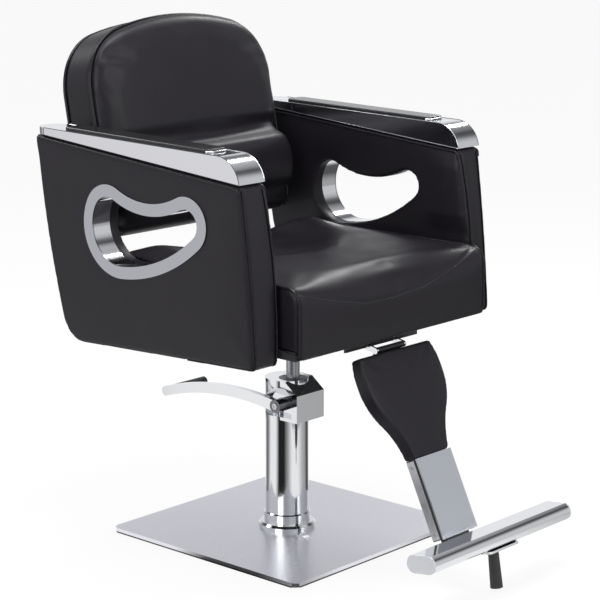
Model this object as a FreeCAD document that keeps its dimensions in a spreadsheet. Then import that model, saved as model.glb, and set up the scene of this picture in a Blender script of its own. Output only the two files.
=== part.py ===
import FreeCAD, Part
import math
import os
import types

import Sketcher
from FreeCAD import Placement, Rotation, Vector

# Hairdressing chair on a hydraulic pump, in millimetres and degrees. The origin lies on the floor under the
# middle of the base, +Z is up and the sitter faces -Y. The chair is drawn with the pump at its lowest.

doc = FreeCAD.newDocument("SalonChair")
sheet = doc.addObject("Spreadsheet::Sheet", "Sizes")

DRIVING = {
    # clearances
    "fit": 0.2,
    "running": 0.05,
    "joint_gap": 0.5,
    # base
    "base_side": 460,
    "base_corner": 16,
    "floor_pad_thickness": 2,
    "floor_pad_inset": 6,
    "base_edge": 9,
    "cover_sheet": 1.2,
    "base_bolt_radius": 4,
    "base_bolt_head": 7,
    "base_bolt_head_height": 4.5,
    "base_bolt_spread": 21,
    # pump column
    "foot_radius": 53,
    "foot_height": 10,
    "foot_chamfer": 4,
    "collar_radius": 43,
    "collar_height": 19,
    "collar_chamfer": 2,
    "sleeve_radius": 40,
    "sleeve_wall": 1.8,
    "sleeve_height": 199,
    "ram_forward": 15,
    "ram_radius": 20.5,
    "ram_wall": 3.3,
    "ram_floor": 8,
    "ram_socket": 14,
    # pump head
    "head_radius": 40.5,
    "head_height": 75,
    "block_half_width": 37,
    "block_reach": 58,
    "block_lift": 2,
    "slope_run": 29,
    "slope_drop": 22,
    "recess_face": 24,
    "recess_front_wall": 13,
    "recess_back": 22,
    "recess_floor": 8,
    "recess_roof": 13,
    "recess_arch": 42,
    "bush_wall": 3.4,
    "gland_radius": 26,
    "gland_height": 5,
    "gland_screw_circle": 20.5,
    "gland_screw_head": 3.2,
    "gland_screw_shank": 1.6,
    # lever, pedal and plunger
    "lever_pivot_forward": 33,
    "lever_pivot_height": 37,
    "hub_radius": 12,
    "hub_outer_face": 69,
    "hub_inner_face": 25,
    "lever_thickness": 11,
    "lever_depth": 21,
    "lever_reach": 283,
    "lever_drop": 21,
    "lever_bow": 585,
    "toe_boss_radius": 9.5,
    "lever_shaft_radius": 5,
    "lever_shaft_inner_end": 17,
    "pedal_radius": 5,
    "pedal_length": 102,
    "grip_radius": 8.5,
    "grip_overhang": 6,
    "plunger_radius": 3.5,
    "plunger_side": 30,
    "plunger_forward": 4,
    "plunger_length": 58,
    "barrel_wall": 1.9,
    "barrel_length": 60,
    "finger_width": 10,
    "finger_drop": 8,
    "finger_reach": 35,
    # ram
    "piston_clearance": 1,
    "piston_height": 24,
    "piston_cup": 14,
    "seal_height": 5,
    "seal_depth": 2,
    "bearing_height": 6,
    "bearing_bore": 6,
    "rod_radius": 12.5,
    "rod_grip": 58,
    # seat mount and seat
    "socket_clearance": 37,
    "mount_plate_thickness": 8,
    "mount_plate_half_width": 120,
    "mount_plate_half_depth": 100,
    "mount_plate_corner": 20,
    "socket_radius": 22,
    "socket_flare": 8,
    "socket_length": 70,
    "mount_bolt_radius": 4,
    "mount_bolt_head": 7,
    "mount_bolt_head_height": 5.5,
    "mount_bolt_inset": 22,
    "mount_bolt_grip": 11,
    "board_thickness": 15,
    "seat_half_width": 253,
    "seat_front": 262,
    "seat_back": 172,
    "seat_thickness": 128,
    "seat_apron": 12,
    "seat_front_round": 34,
    "seat_back_round": 20,
    "seat_side_round": 10,
    "dish_depth": 14,
    "dish_half_width": 200,
    "dish_middle": 100,
    # arms
    "seat_arm_gap": 6,
    "arm_thickness": 61,
    "panel_front_low": 220,
    "panel_front_high": 188,
    "panel_rear_low": 243,
    "panel_rear_high": 317,
    "panel_front_hang": 10,
    "panel_bottom_drop": 19,
    "panel_over_toe": 77.5,
    "panel_top_rise": 43,
    "panel_heel": 50,
    "panel_corner": 8,
    "panel_roll": 6,
    "cap_seam": 2,
    "cap_rib_inset": 10,
    "cap_rear": 318,
    "cap_front_height": 46,
    "cap_top_rise": 10,
    "nose_start": 136,
    "nose_radius": 51,
    "cap_rear_round": 28,
    "arm_pad_front": 111,
    "arm_pad_rear": 245,
    "arm_pad_half_width": 23,
    "arm_pad_thickness": 6,
    "arm_pad_end_round": 10,
    "arm_pad_edge": 2.8,
    "arm_bolt_radius": 4,
    "arm_bolt_in_board": 40,
    "arm_bolt_in_panel": 40,
    "arm_bolt_front": 150,
    "arm_bolt_rear": 110,
    # kidney-shaped cut-out of the arms
    "heel_lobe_back": 96,
    "heel_lobe_height": 193,
    "heel_lobe_radius": 67.5,
    "upper_lobe_lift": 16,
    "upper_lobe_radius": 35,
    "toe_lobe_front": 66,
    "toe_lobe_height": 216.5,
    "toe_lobe_radius": 27,
    "brow_radius": 185,
    "belly_radius": 300,
    "ring_flange": 21.5,
    "ring_wall": 2.5,
    "ring_sheet": 3,
    "ring_depth": 38,
    # backrest, in its own leaning frame
    "back_lean": 12,
    "back_foot_setback": 112.4,
    "back_foot_lift": 5,
    "back_height": 388.5,
    "back_arm_gap": 20.8,
    "back_side_angle": 1.5,
    "back_shoulder_radius": 112,
    "back_top_radius": 620,
    "back_foot_radius": 30,
    "rear_cover_thickness": 8,
    "back_band": 78,
    "back_swell": 34,
    "back_crown": 14,
    "back_crown_height": 205.5,
    "back_front_round": 22,
    "back_rear_round": 5,
    "frame_inset": 14,
    "frame_depth": 58,
    "lumbar_middle": 98.5,
    "lumbar_radius": 95,
    "lumbar_proud": 19,
    "lumbar_end": 14,
    "lumbar_round": 20,
    "back_bolt_radius": 5,
    "back_bolt_depth": 45,
    "back_bolt_low": 60.5,
    "back_bolt_high": 150.5,
    "back_bolt_in_frame": 45,
    "back_bolt_in_panel": 40,
    "spacer_radius": 10,
    # leg rest, in its own leaning frame with its hinge at the origin
    "leg_hinge_setback": 19,
    "leg_hinge_drop": 21,
    "leg_lean": 25.5,
    "hinge_pin_radius": 3,
    "hinge_barrel_radius": 5.5,
    "hinge_half_width": 34,
    "strap_thickness": 5,
    "strap_length": 92,
    "strap_foot": 42,
    "bracket_thickness": 5,
    "bracket_half_width": 112,
    "bracket_setback": 24,
    "bracket_depth": 108,
    "bracket_corner": 14,
    "lip_setback": 12,
    "lip_thickness": 4,
    "lip_depth": 12,
    "lip_strap_gap": 2,
    "tongue_thickness": 4,
    "tongue_length": 84,
    "tongue_clearance": 2,
    "leg_pad_top": 6.3,
    "leg_pad_bottom": 199,
    "leg_pad_top_half_width": 96,
    "leg_pad_waist": 128,
    "leg_pad_waist_half_width": 78,
    "leg_pad_shoulder_radius": 125,
    "leg_pad_throat_radius": 150,
    "leg_pad_front": 20,
    "leg_pad_rear": 4,
    "leg_pad_round": 7,
    "leg_pad_crown_radius": 1100,
    "leg_board_thickness": 6,
    "leg_board_inset": 5,
    "stem_half_width": 47.5,
    "stem_bottom": 344,
    "stem_front": 17,
    "stem_plate_thickness": 3,
    "strip_thickness": 3,
    "strip_front": 9,
    "strip_rear": 8,
    "strip_end_gap": 2,
    "spine_half_width": 25,
    "lug_half_width": 31,
    "lug_drop": 12,
    "lug_set_back": 2,
    "lug_radius": 7,
    # foot bar, in its own frame with the lug's pin at the origin
    "bar_tilt": 8,
    "bar_half_length": 190,
    "bar_forward": 77.5,
    "bar_width": 60,
    "bar_height": 30,
    "bar_flat": 41,
    "bar_wall": 2,
    "bar_cap_thickness": 3,
    "plate_thickness": 4,
    "plate_half_width": 42,
    "plate_front": 104,
    "plate_corner": 8,
    "knuckle_width": 10,
    "plate_bolt_radius": 3,
    "plate_bolt_head": 5.5,
    "plate_bolt_head_height": 4,
    "plate_bolt_side": 28,
    "plate_bolt_grip": 7,
    "peg_stud_radius": 5,
    "peg_stud_length": 60,
    "peg_top_radius": 9,
    "peg_bottom_radius": 11,
    "peg_length": 70,
}

for row, (alias, number) in enumerate(DRIVING.items(), start=1):
    sheet.set(f"A{row}", alias)
    sheet.set(f"B{row}", str(number))
    sheet.setAlias(f"B{row}", alias)
doc.recompute()


class Size:
    """A length or an angle, with its number and the sheet expression that gives it."""

    def __init__(self, text, value):
        self.text = text
        self.value = value

    def __add__(self, other):
        other = as_size(other)
        return Size(f"({self.text} + {other.text})", self.value + other.value)

    def __sub__(self, other):
        other = as_size(other)
        return Size(f"({self.text} - {other.text})", self.value - other.value)

    def __mul__(self, other):
        other = as_size(other)
        return Size(f"({self.text} * {other.text})", self.value * other.value)

    def __truediv__(self, other):
        other = as_size(other)
        return Size(f"({self.text} / {other.text})", self.value / other.value)

    def __neg__(self):
        return Size(f"(0 - {self.text})", -self.value)


def as_size(number):
    return number if isinstance(number, Size) else Size(repr(float(number)), float(number))


def cosine(angle):
    return Size(f"cos({angle.text} * 1deg)", math.cos(math.radians(angle.value)))


def sine(angle):
    return Size(f"sin({angle.text} * 1deg)", math.sin(math.radians(angle.value)))


def tangent(angle):
    return Size(f"tan({angle.text} * 1deg)", math.tan(math.radians(angle.value)))


def root(size):
    return Size(f"sqrt({size.text})", math.sqrt(size.value))


d = types.SimpleNamespace(**{alias: Size(f"Sizes.{alias}", float(sheet.get(alias))) for alias in DRIVING})
ZERO = as_size(0)
OUT, IN = 1, -1
LEFT, RIGHT = 1, -1
SIDES = {"left": LEFT, "right": RIGHT}
nodes = {}


def new_body(label):
    body = doc.addObject("PartDesign::Body", "Body_" + label)
    body.Label = label
    nodes[label] = body
    return body


def plane_sketch(body, role, offset=None):
    """A sketch on one of the body's origin planes, moved along the plane's normal by offset."""
    sketch = body.newObject("Sketcher::SketchObject", "Sketch")
    plane = next(feature for feature in body.Origin.OriginFeatures if feature.Role == role)
    sketch.AttachmentSupport = [(plane, "")]
    sketch.MapMode = "FlatFace"
    if offset is not None:
        sketch.setExpression("AttachmentOffset.Base.z", offset.text)
    return sketch


def fix(sketch, kind, *where_and_size):
    *where, size = where_and_size
    index = sketch.addConstraint(Sketcher.Constraint(kind, *where, size.value))
    sketch.setExpression(f"Constraints[{index}]", size.text)


def outline(sketch, *corners):
    """A closed chain of edges, counter-clockwise. A corner is (u, v), or (u, v, radius, OUT or IN) where the
    edge to the next corner is an arc that swells outwards or inwards."""
    first = sketch.GeometryCount
    starts = []
    points = [Vector(corner[0].value, corner[1].value, 0) for corner in corners]
    for index, corner in enumerate(corners):
        start, end = points[index], points[(index + 1) % len(corners)]
        if len(corner) == 2:
            sketch.addGeometry(Part.LineSegment(start, end))
            starts.append((1, 2))
            continue
        radius, way = corner[2], corner[3]
        chord = end - start
        middle = (start + end) * 0.5
        rise = math.sqrt(radius.value ** 2 - chord.Length ** 2 / 4)
        centre = middle + Vector(-chord.y, chord.x, 0) * (way * rise / chord.Length)
        ends = (start, end) if way == OUT else (end, start)
        angles = [math.atan2(point.y - centre.y, point.x - centre.x) for point in ends]
        if angles[1] < angles[0]:
            angles[1] += 2 * math.pi
        circle_of_arc = Part.Circle(centre, Vector(0, 0, 1), radius.value)
        sketch.addGeometry(Part.ArcOfCircle(circle_of_arc, *angles))
        starts.append((1, 2) if way == OUT else (2, 1))
    for index, corner in enumerate(corners):
        following = (index + 1) % len(corners)
        joint = (first + index, starts[index][1], first + following, starts[following][0])
        sketch.addConstraint(Sketcher.Constraint("Coincident", *joint))
    for index, corner in enumerate(corners):
        fix(sketch, "DistanceX", first + index, starts[index][0], corner[0])
        fix(sketch, "DistanceY", first + index, starts[index][0], corner[1])
        if len(corner) > 2:
            fix(sketch, "Radius", first + index, corner[2])


def circle(sketch, u, v, radius):
    index = sketch.addGeometry(Part.Circle(Vector(u.value, v.value, 0), Vector(0, 0, 1), radius.value))
    fix(sketch, "DistanceX", index, 3, u)
    fix(sketch, "DistanceY", index, 3, v)
    fix(sketch, "Radius", index, radius)


def rectangle(sketch, u0, u1, v0, v1):
    outline(sketch, (u0, v0), (u1, v0), (u1, v1), (u0, v1))


def pad(body, sketch, length):
    feature = body.newObject("PartDesign::Pad", "Pad")
    feature.Profile = sketch
    feature.setExpression("Length", length.text)
    doc.recompute()
    return feature


def pocket(body, sketch, length):
    """Cuts along the sketch's normal, and makes sure that something was cut."""
    before = body.Shape.Volume
    feature = body.newObject("PartDesign::Pocket", "Pocket")
    feature.Profile = sketch
    feature.Reversed = True
    feature.setExpression("Length", length.text)
    doc.recompute()
    if not body.Shape.Volume < before:
        raise ValueError(f"{body.Label}: a pocket cut nothing")
    return feature


def revolve(body, sketch, axis="V_Axis"):
    feature = body.newObject("PartDesign::Revolution", "Revolution")
    feature.Profile = sketch
    feature.ReferenceAxis = (sketch, [axis])
    feature.Angle = 360
    doc.recompute()
    return feature


def round_edges(body, radius, chosen):
    base = body.Tip
    names = [f"Edge{number}" for number, edge in enumerate(base.Shape.Edges, start=1) if chosen(edge)]
    feature = body.newObject("PartDesign::Fillet", "Fillet")
    feature.Base = (base, names)
    feature.setExpression("Radius", radius.text)
    doc.recompute()
    return feature


def crown_front(body, radius, depth, middle, low, high, stock):
    """Turns a body's front to a ball's face: the face stands at y = -depth at the height middle, and whatever
    is in front of it is cut away between two heights."""
    sketch = plane_sketch(body, "YZ_Plane")
    sketch.setExpression("AttachmentOffset.Base.x", (radius - depth).text)
    front = -(radius + stock)
    below, over = middle - low, high - middle
    outline(sketch, (front, low), (-root(radius * radius - below * below), low, radius, IN),
            (-root(radius * radius - over * over), high), (front, high))
    before = body.Shape.Volume
    feature = body.newObject("PartDesign::Groove", "Groove")
    feature.Profile = sketch
    feature.ReferenceAxis = (sketch, ["V_Axis"])
    feature.Midplane = True
    feature.Angle = 60
    doc.recompute()
    if not body.Shape.Volume < before:
        raise ValueError(f"{body.Label}: a groove cut nothing")


def upright(edge):
    return edge.BoundBox.XLength < 1e-6 and edge.BoundBox.YLength < 1e-6


def crosswise(edge):
    return edge.BoundBox.YLength < 1e-6 and edge.BoundBox.ZLength < 1e-6


def shift(piece, x=ZERO, y=ZERO, z=ZERO):
    for axis, size in zip("xyz", (x, y, z)):
        piece.setExpression(f"Placement.Base.{axis}", size.text)


def turned(label, *profile, x=ZERO, y=ZERO):
    """A piece turned about an upright axis, from corners (radius, height)."""
    body = new_body(label)
    sketch = plane_sketch(body, "XZ_Plane")
    outline(sketch, *profile)
    revolve(body, sketch)
    shift(body, x, y)
    return body


def turned_crosswise(label, *profile, y=ZERO, z=ZERO):
    """A piece turned about an axis that runs across the chair, from corners (x, radius)."""
    body = new_body(label)
    sketch = plane_sketch(body, "XZ_Plane")
    outline(sketch, *profile)
    revolve(body, sketch, "H_Axis")
    shift(body, y=y, z=z)
    return body


def slab(label, x_range, y_range, z_range, corner=None):
    """A flat plate with rounded upright corners."""
    body = new_body(label)
    sketch = plane_sketch(body, "XY_Plane", z_range[0])
    rectangle(sketch, *x_range, *y_range)
    pad(body, sketch, z_range[1] - z_range[0])
    if corner is not None:
        round_edges(body, corner, upright)
    return body


def drill(body, places, radius, bottom, depth):
    """Upright round holes, from a height upwards."""
    sketch = plane_sketch(body, "XY_Plane", bottom)
    for x, y in places:
        circle(sketch, x, y, radius)
    pocket(body, sketch, depth)


def drill_crosswise(body, places, radius, start, depth):
    """Round holes along X, from a place x = start towards +X."""
    sketch = plane_sketch(body, "YZ_Plane", start)
    for y, z in places:
        circle(sketch, y, z, radius)
    pocket(body, sketch, depth)


def bar_crosswise(label, y, z, radius, x_range):
    body = new_body(label)
    sketch = plane_sketch(body, "YZ_Plane", x_range[0])
    circle(sketch, y, z, radius)
    pad(body, sketch, x_range[1] - x_range[0])
    return body


def group(label, pieces):
    """Like pieces that share one node."""
    compound = doc.addObject("Part::Compound", "Group_" + label)
    for piece in pieces:
        del nodes[piece.Label]
    compound.Links = pieces
    compound.Label = label
    nodes[label] = compound
    return compound


def boolean(kind, label, base, tool):
    """Takes over the base's label: Part::Cut, Part::Common or Part::Fuse of two solids."""
    base.Label = label + "_blank"
    nodes.pop(label, None)
    result = doc.addObject(kind, "Result_" + label)
    result.Base = base
    result.Tool = tool
    result.Label = label
    doc.recompute()
    nodes[label] = result
    return result


def ball(name, radius, x=ZERO, y=ZERO, z=ZERO):
    sphere = doc.addObject("Part::Sphere", name)
    sphere.setExpression("Radius", radius.text)
    shift(sphere, x, y, z)
    doc.recompute()
    return sphere


def lean(piece, y, z, angle):
    """Stands a piece of a leaning frame in its place: its own +Z tips towards +Y by angle."""
    piece.Placement = Placement(Vector(0, y.value, z.value), Rotation(Vector(1, 0, 0), -angle.value))
    shift(piece, y=y, z=z)


def corners_of(side_x, side_y):
    return [(side_x * i, side_y * j) for i in (1, -1) for j in (1, -1)]


# The base: a heavy steel plate under a brushed cover, on a thin rubber pad

half_base = d.base_side / 2
cover_bottom = d.floor_pad_thickness
base_top = cover_bottom + d.base_edge
base_bolt_places = corners_of(d.base_bolt_spread, d.base_bolt_spread)

half_floor_pad = half_base - d.floor_pad_inset
pad_span = (-half_floor_pad, half_floor_pad)
slab("floor_pad", pad_span, pad_span, (ZERO, cover_bottom), d.base_corner)

cover_span = (-half_base, half_base)
base_cover = slab("base_cover", cover_span, cover_span, (cover_bottom, base_top), d.base_corner)
half_hollow = half_base - d.cover_sheet
hollow_sketch = plane_sketch(base_cover, "XY_Plane", cover_bottom)
rectangle(hollow_sketch, -half_hollow, half_hollow, -half_hollow, half_hollow)
pocket(base_cover, hollow_sketch, d.base_edge - d.cover_sheet)
drill(base_cover, base_bolt_places, d.base_bolt_radius + d.fit, cover_bottom, d.base_edge)

half_weight = half_hollow - d.fit
weight_span = (-half_weight, half_weight)
weight_top = base_top - d.cover_sheet
base_weight = slab("base_weight", weight_span, weight_span, (cover_bottom, weight_top), d.base_corner)
drill(base_weight, base_bolt_places, d.base_bolt_radius + d.fit, cover_bottom, d.base_edge)
drill(base_weight, base_bolt_places, d.base_bolt_head + d.fit, cover_bottom, d.base_bolt_head_height + d.fit)


def bolt(label, x, y, bottom, head_radius, head_height, shank_radius, length):
    """A bolt with its head below and its shank up."""
    shank_start = bottom + head_height
    top = bottom + length
    profile = ((ZERO, bottom), (head_radius, bottom), (head_radius, shank_start), (shank_radius, shank_start),
               (shank_radius, top), (ZERO, top))
    return turned(label, *profile, x=x, y=y)


base_bolt_length = d.base_edge + d.foot_height - d.base_bolt_head_height
base_bolts = [bolt(f"base_bolt_{number}", x, y, cover_bottom, d.base_bolt_head, d.base_bolt_head_height,
                   d.base_bolt_radius, base_bolt_length)
              for number, (x, y) in enumerate(base_bolt_places)]
group("base_bolts", base_bolts)

# The pump column: a foot, a collar and a chrome sleeve, with the ram cylinder inside, forward of the middle

foot_top = base_top + d.foot_height
pump_foot = turned("pump_foot", (ZERO, base_top), (d.foot_radius, base_top),
                   (d.foot_radius, foot_top - d.foot_chamfer), (d.foot_radius - d.foot_chamfer, foot_top),
                   (ZERO, foot_top))
drill(pump_foot, base_bolt_places, d.base_bolt_radius + d.fit, base_top,
      base_bolt_length - d.base_edge + d.fit)

collar_top = foot_top + d.collar_height
collar_bore = d.sleeve_radius + d.fit
turned("collar_ring", (collar_bore, foot_top), (d.collar_radius, foot_top),
       (d.collar_radius, collar_top - d.collar_chamfer), (d.collar_radius - d.collar_chamfer, collar_top),
       (collar_bore, collar_top))

head_bottom = foot_top + d.sleeve_height
head_top = head_bottom + d.head_height
sleeve_bore = d.sleeve_radius - d.sleeve_wall
turned("pump_sleeve", (sleeve_bore, foot_top), (d.sleeve_radius, foot_top), (d.sleeve_radius, head_bottom),
       (sleeve_bore, head_bottom))

ram_y = -d.ram_forward
ram_bore = d.ram_radius - d.ram_wall
ram_top = head_bottom + d.ram_socket
ram_bed = foot_top + d.ram_floor
turned("ram_cylinder", (ZERO, foot_top), (d.ram_radius, foot_top), (d.ram_radius, ram_top),
       (ram_bore, ram_top), (ram_bore, ram_bed), (ZERO, ram_bed), y=ram_y)

# The pump head: a round casting with a block in front, cut open on the lever's side

bush_radius = d.rod_radius + d.running + d.bush_wall
gland_bottom = head_top - d.gland_height
lever_y = -d.lever_pivot_forward
lever_z = head_bottom + d.lever_pivot_height
plunger_x, plunger_y = -d.plunger_side, -d.plunger_forward
barrel_radius = d.plunger_radius + d.running + d.barrel_wall
recess_bed = head_bottom + d.recess_floor

pump_head = turned("pump_head", (ZERO, head_bottom), (d.head_radius, head_bottom), (d.head_radius, head_top),
                   (ZERO, head_top))
block_sketch = plane_sketch(pump_head, "YZ_Plane", -d.block_half_width)
outline(block_sketch, (-d.block_reach, head_bottom + d.block_lift), (ZERO, head_bottom + d.block_lift),
        (ZERO, head_top), (d.slope_run - d.block_reach, head_top), (-d.block_reach, head_top - d.slope_drop))
pad(pump_head, block_sketch, d.block_half_width * 2)
recess_front = d.recess_front_wall - d.block_reach
recess_top = head_top - d.recess_roof
recess_slope = d.slope_drop * (d.slope_run - d.recess_front_wall) / d.slope_run
recess_sketch = plane_sketch(pump_head, "YZ_Plane", -(d.head_radius + d.lever_thickness))
outline(recess_sketch, (recess_front, recess_bed), (d.recess_back, recess_bed),
        (d.recess_back, lever_z, d.recess_arch, OUT), (ram_y, recess_top),
        (d.slope_run - d.block_reach, recess_top), (recess_front, recess_top - recess_slope))
pocket(pump_head, recess_sketch, d.head_radius + d.lever_thickness - d.recess_face)
drill(pump_head, [(ZERO, ram_y)], d.ram_radius + d.fit, head_bottom, d.ram_socket)
drill(pump_head, [(ZERO, ram_y)], bush_radius + d.running, head_bottom, d.head_height)
drill(pump_head, [(ZERO, ram_y)], d.gland_radius + d.fit, gland_bottom, d.gland_height)
drill(pump_head, [(plunger_x, plunger_y)], barrel_radius + d.running, head_bottom, d.recess_floor)
drill_crosswise(pump_head, [(lever_y, lever_z)], d.lever_shaft_radius + d.running, -d.recess_face,
                d.recess_face - d.lever_shaft_inner_end + d.fit)

rod_bore = d.rod_radius + d.running
turned("rod_bush", (rod_bore, ram_top), (bush_radius, ram_top), (bush_radius, gland_bottom),
       (rod_bore, gland_bottom), y=ram_y)

gland_ring = turned("gland_ring", (rod_bore, gland_bottom), (d.gland_radius, gland_bottom),
                    (d.gland_radius, head_top), (rod_bore, head_top), y=ram_y)
gland_screw_places = [(d.gland_screw_circle, ZERO), (-d.gland_screw_circle, ZERO),
                      (ZERO, d.gland_screw_circle), (ZERO, -d.gland_screw_circle)]
screw_head_height = d.gland_height / 2
drill(gland_ring, gland_screw_places, d.gland_screw_shank + d.fit, gland_bottom, d.gland_height)
drill(gland_ring, gland_screw_places, d.gland_screw_head + d.fit, head_top - screw_head_height,
      screw_head_height)


def sunk_screw(label, x, y):
    """A small screw with its head on top, let into the gland ring."""
    shoulder = head_top - screw_head_height
    profile = ((ZERO, gland_bottom), (d.gland_screw_shank, gland_bottom), (d.gland_screw_shank, shoulder),
               (d.gland_screw_head, shoulder), (d.gland_screw_head, head_top), (ZERO, head_top))
    return turned(label, *profile, x=x, y=ram_y + y)


group("gland_screws", [sunk_screw(f"gland_screw_{number}", x, y)
                       for number, (x, y) in enumerate(gland_screw_places)])

# The lever: a bowed cast arm on a long hub, with a pedal across its end and a finger over the plunger

lever_face = -d.hub_outer_face
toe_y = lever_y + d.lever_reach
toe_z = lever_z - d.lever_drop
half_depth = d.lever_depth / 2
toe_half_depth = d.toe_boss_radius

pump_lever = new_body("pump_lever")
arm_sketch = plane_sketch(pump_lever, "YZ_Plane", lever_face)
outline(arm_sketch, (lever_y, lever_z - half_depth, d.lever_bow - half_depth, IN),
        (toe_y, toe_z - toe_half_depth), (toe_y, toe_z + toe_half_depth, d.lever_bow + half_depth, OUT),
        (lever_y, lever_z + half_depth))
pad(pump_lever, arm_sketch, d.lever_thickness)
hub_sketch = plane_sketch(pump_lever, "YZ_Plane", lever_face)
circle(hub_sketch, lever_y, lever_z, d.hub_radius)
pad(pump_lever, hub_sketch, d.hub_outer_face - d.hub_inner_face)
toe_sketch = plane_sketch(pump_lever, "YZ_Plane", lever_face)
circle(toe_sketch, toe_y, toe_z, d.toe_boss_radius)
pad(pump_lever, toe_sketch, d.lever_thickness)
finger_sketch = plane_sketch(pump_lever, "YZ_Plane", -(d.hub_inner_face + d.finger_width))
rectangle(finger_sketch, lever_y, lever_y + d.finger_reach, lever_z - d.finger_drop, lever_z)
pad(pump_lever, finger_sketch, d.finger_width)
drill_crosswise(pump_lever, [(lever_y, lever_z)], d.lever_shaft_radius + d.running, lever_face,
                d.hub_outer_face)
drill_crosswise(pump_lever, [(toe_y, toe_z)], d.pedal_radius + d.running, lever_face, d.lever_thickness)

bar_crosswise("lever_shaft", lever_y, lever_z, d.lever_shaft_radius, (lever_face, -d.lever_shaft_inner_end))
pedal_end = lever_face + d.pedal_length
bar_crosswise("pedal_bar", toe_y, toe_z, d.pedal_radius, (lever_face, pedal_end))
grip_start = lever_face + d.lever_thickness
grip_end = pedal_end + d.grip_overhang
grip_bore = d.pedal_radius + d.running
turned_crosswise("pedal_grip", (grip_start, grip_bore), (pedal_end, grip_bore), (pedal_end, ZERO),
                 (grip_end, ZERO), (grip_end, d.grip_radius - d.grip_overhang / 2, d.grip_overhang, OUT),
                 (grip_end - d.grip_overhang / 2, d.grip_radius), (grip_start, d.grip_radius),
                 y=toe_y, z=toe_z)

finger_bottom = lever_z - d.finger_drop
plunger_top = finger_bottom - d.fit
turned("plunger", (ZERO, plunger_top - d.plunger_length), (d.plunger_radius, plunger_top - d.plunger_length),
       (d.plunger_radius, plunger_top), (ZERO, plunger_top), x=plunger_x, y=plunger_y)
barrel_bottom = recess_bed - d.barrel_length
turned("plunger_barrel", (d.plunger_radius + d.running, barrel_bottom), (barrel_radius, barrel_bottom),
       (barrel_radius, recess_bed), (d.plunger_radius + d.running, recess_bed), x=plunger_x, y=plunger_y)

# The ram: a piston with a seal, and a cup for the rod

piston_radius = ram_bore - d.running
piston_bottom = ram_bed + d.piston_clearance
piston_top = piston_bottom + d.piston_height
cup_bed = piston_top - d.piston_cup
cup_radius = d.rod_radius + d.running
groove_bottom = piston_bottom + d.seal_height / 2
groove_top = groove_bottom + d.seal_height
groove_radius = piston_radius - d.seal_depth
turned("piston", (ZERO, piston_bottom), (piston_radius, piston_bottom), (piston_radius, groove_bottom),
       (groove_radius, groove_bottom), (groove_radius, groove_top), (piston_radius, groove_top),
       (piston_radius, piston_top), (cup_radius, piston_top), (cup_radius, cup_bed), (ZERO, cup_bed), y=ram_y)
turned("piston_seal", (groove_radius, groove_bottom), (piston_radius, groove_bottom),
       (piston_radius, groove_top), (groove_radius, groove_top), y=ram_y)

# The seat mount: a flared socket under a plate, which turns on the rod and on a thrust bearing over its end

socket_bottom = head_top + d.socket_clearance
plate_bottom = socket_bottom + d.socket_length
seat_bottom = plate_bottom + d.mount_plate_thickness
rod_top = socket_bottom + d.rod_grip
turned("piston_rod", (ZERO, cup_bed), (d.rod_radius, cup_bed), (d.rod_radius, rod_top), (ZERO, rod_top),
       y=ram_y)
socket_ceiling = rod_top + d.bearing_height
turned("thrust_bearing", (d.bearing_bore, rod_top), (d.rod_radius, rod_top), (d.rod_radius, socket_ceiling),
       (d.bearing_bore, socket_ceiling), y=ram_y)

mount_bolt_x = d.mount_plate_half_width - d.mount_bolt_inset
mount_bolt_y = d.mount_plate_half_depth - d.mount_bolt_inset
mount_bolt_places = corners_of(mount_bolt_x, mount_bolt_y)
seat_mount = turned("seat_mount", (rod_bore, socket_bottom), (d.socket_radius, socket_bottom),
                    (d.socket_radius + d.socket_flare, plate_bottom), (ZERO, plate_bottom),
                    (ZERO, socket_ceiling), (rod_bore, socket_ceiling), y=ram_y)
plate_sketch = plane_sketch(seat_mount, "XY_Plane", plate_bottom)
rectangle(plate_sketch, -d.mount_plate_half_width, d.mount_plate_half_width, -d.mount_plate_half_depth,
          d.mount_plate_half_depth)
pad(seat_mount, plate_sketch, d.mount_plate_thickness)
round_edges(seat_mount, d.mount_plate_corner, upright)
drill(seat_mount, mount_bolt_places, d.mount_bolt_radius + d.fit, plate_bottom, d.mount_plate_thickness)

mount_bolt_bottom = plate_bottom - d.mount_bolt_head_height
mount_bolt_length = d.mount_bolt_head_height + d.mount_plate_thickness + d.mount_bolt_grip
group("mount_bolts", [bolt(f"mount_bolt_{number}", x, ram_y + y, mount_bolt_bottom, d.mount_bolt_head,
                           d.mount_bolt_head_height, d.mount_bolt_radius, mount_bolt_length)
                      for number, (x, y) in enumerate(mount_bolt_places)])

# The seat: a plywood board with a thick cushion, rounded over the front and dished where one sits

board_top = seat_bottom + d.board_thickness
board_front = d.seat_apron - d.seat_front
seat_width = (-d.seat_half_width, d.seat_half_width)
seat_board = slab("seat_board", seat_width, (board_front, d.seat_back), (seat_bottom, board_top))
drill(seat_board, [(x, ram_y + y) for x, y in mount_bolt_places], d.mount_bolt_radius + d.fit, seat_bottom,
      d.mount_bolt_grip + d.fit)
arm_bolt_z = seat_bottom + d.board_thickness / 2
arm_bolt_places = [(-d.arm_bolt_front, arm_bolt_z), (d.arm_bolt_rear, arm_bolt_z)]
for hole_start in (-d.seat_half_width, d.seat_half_width - d.arm_bolt_in_board - d.fit):
    drill_crosswise(seat_board, arm_bolt_places, d.arm_bolt_radius + d.fit, hole_start,
                    d.arm_bolt_in_board + d.fit)

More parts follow.
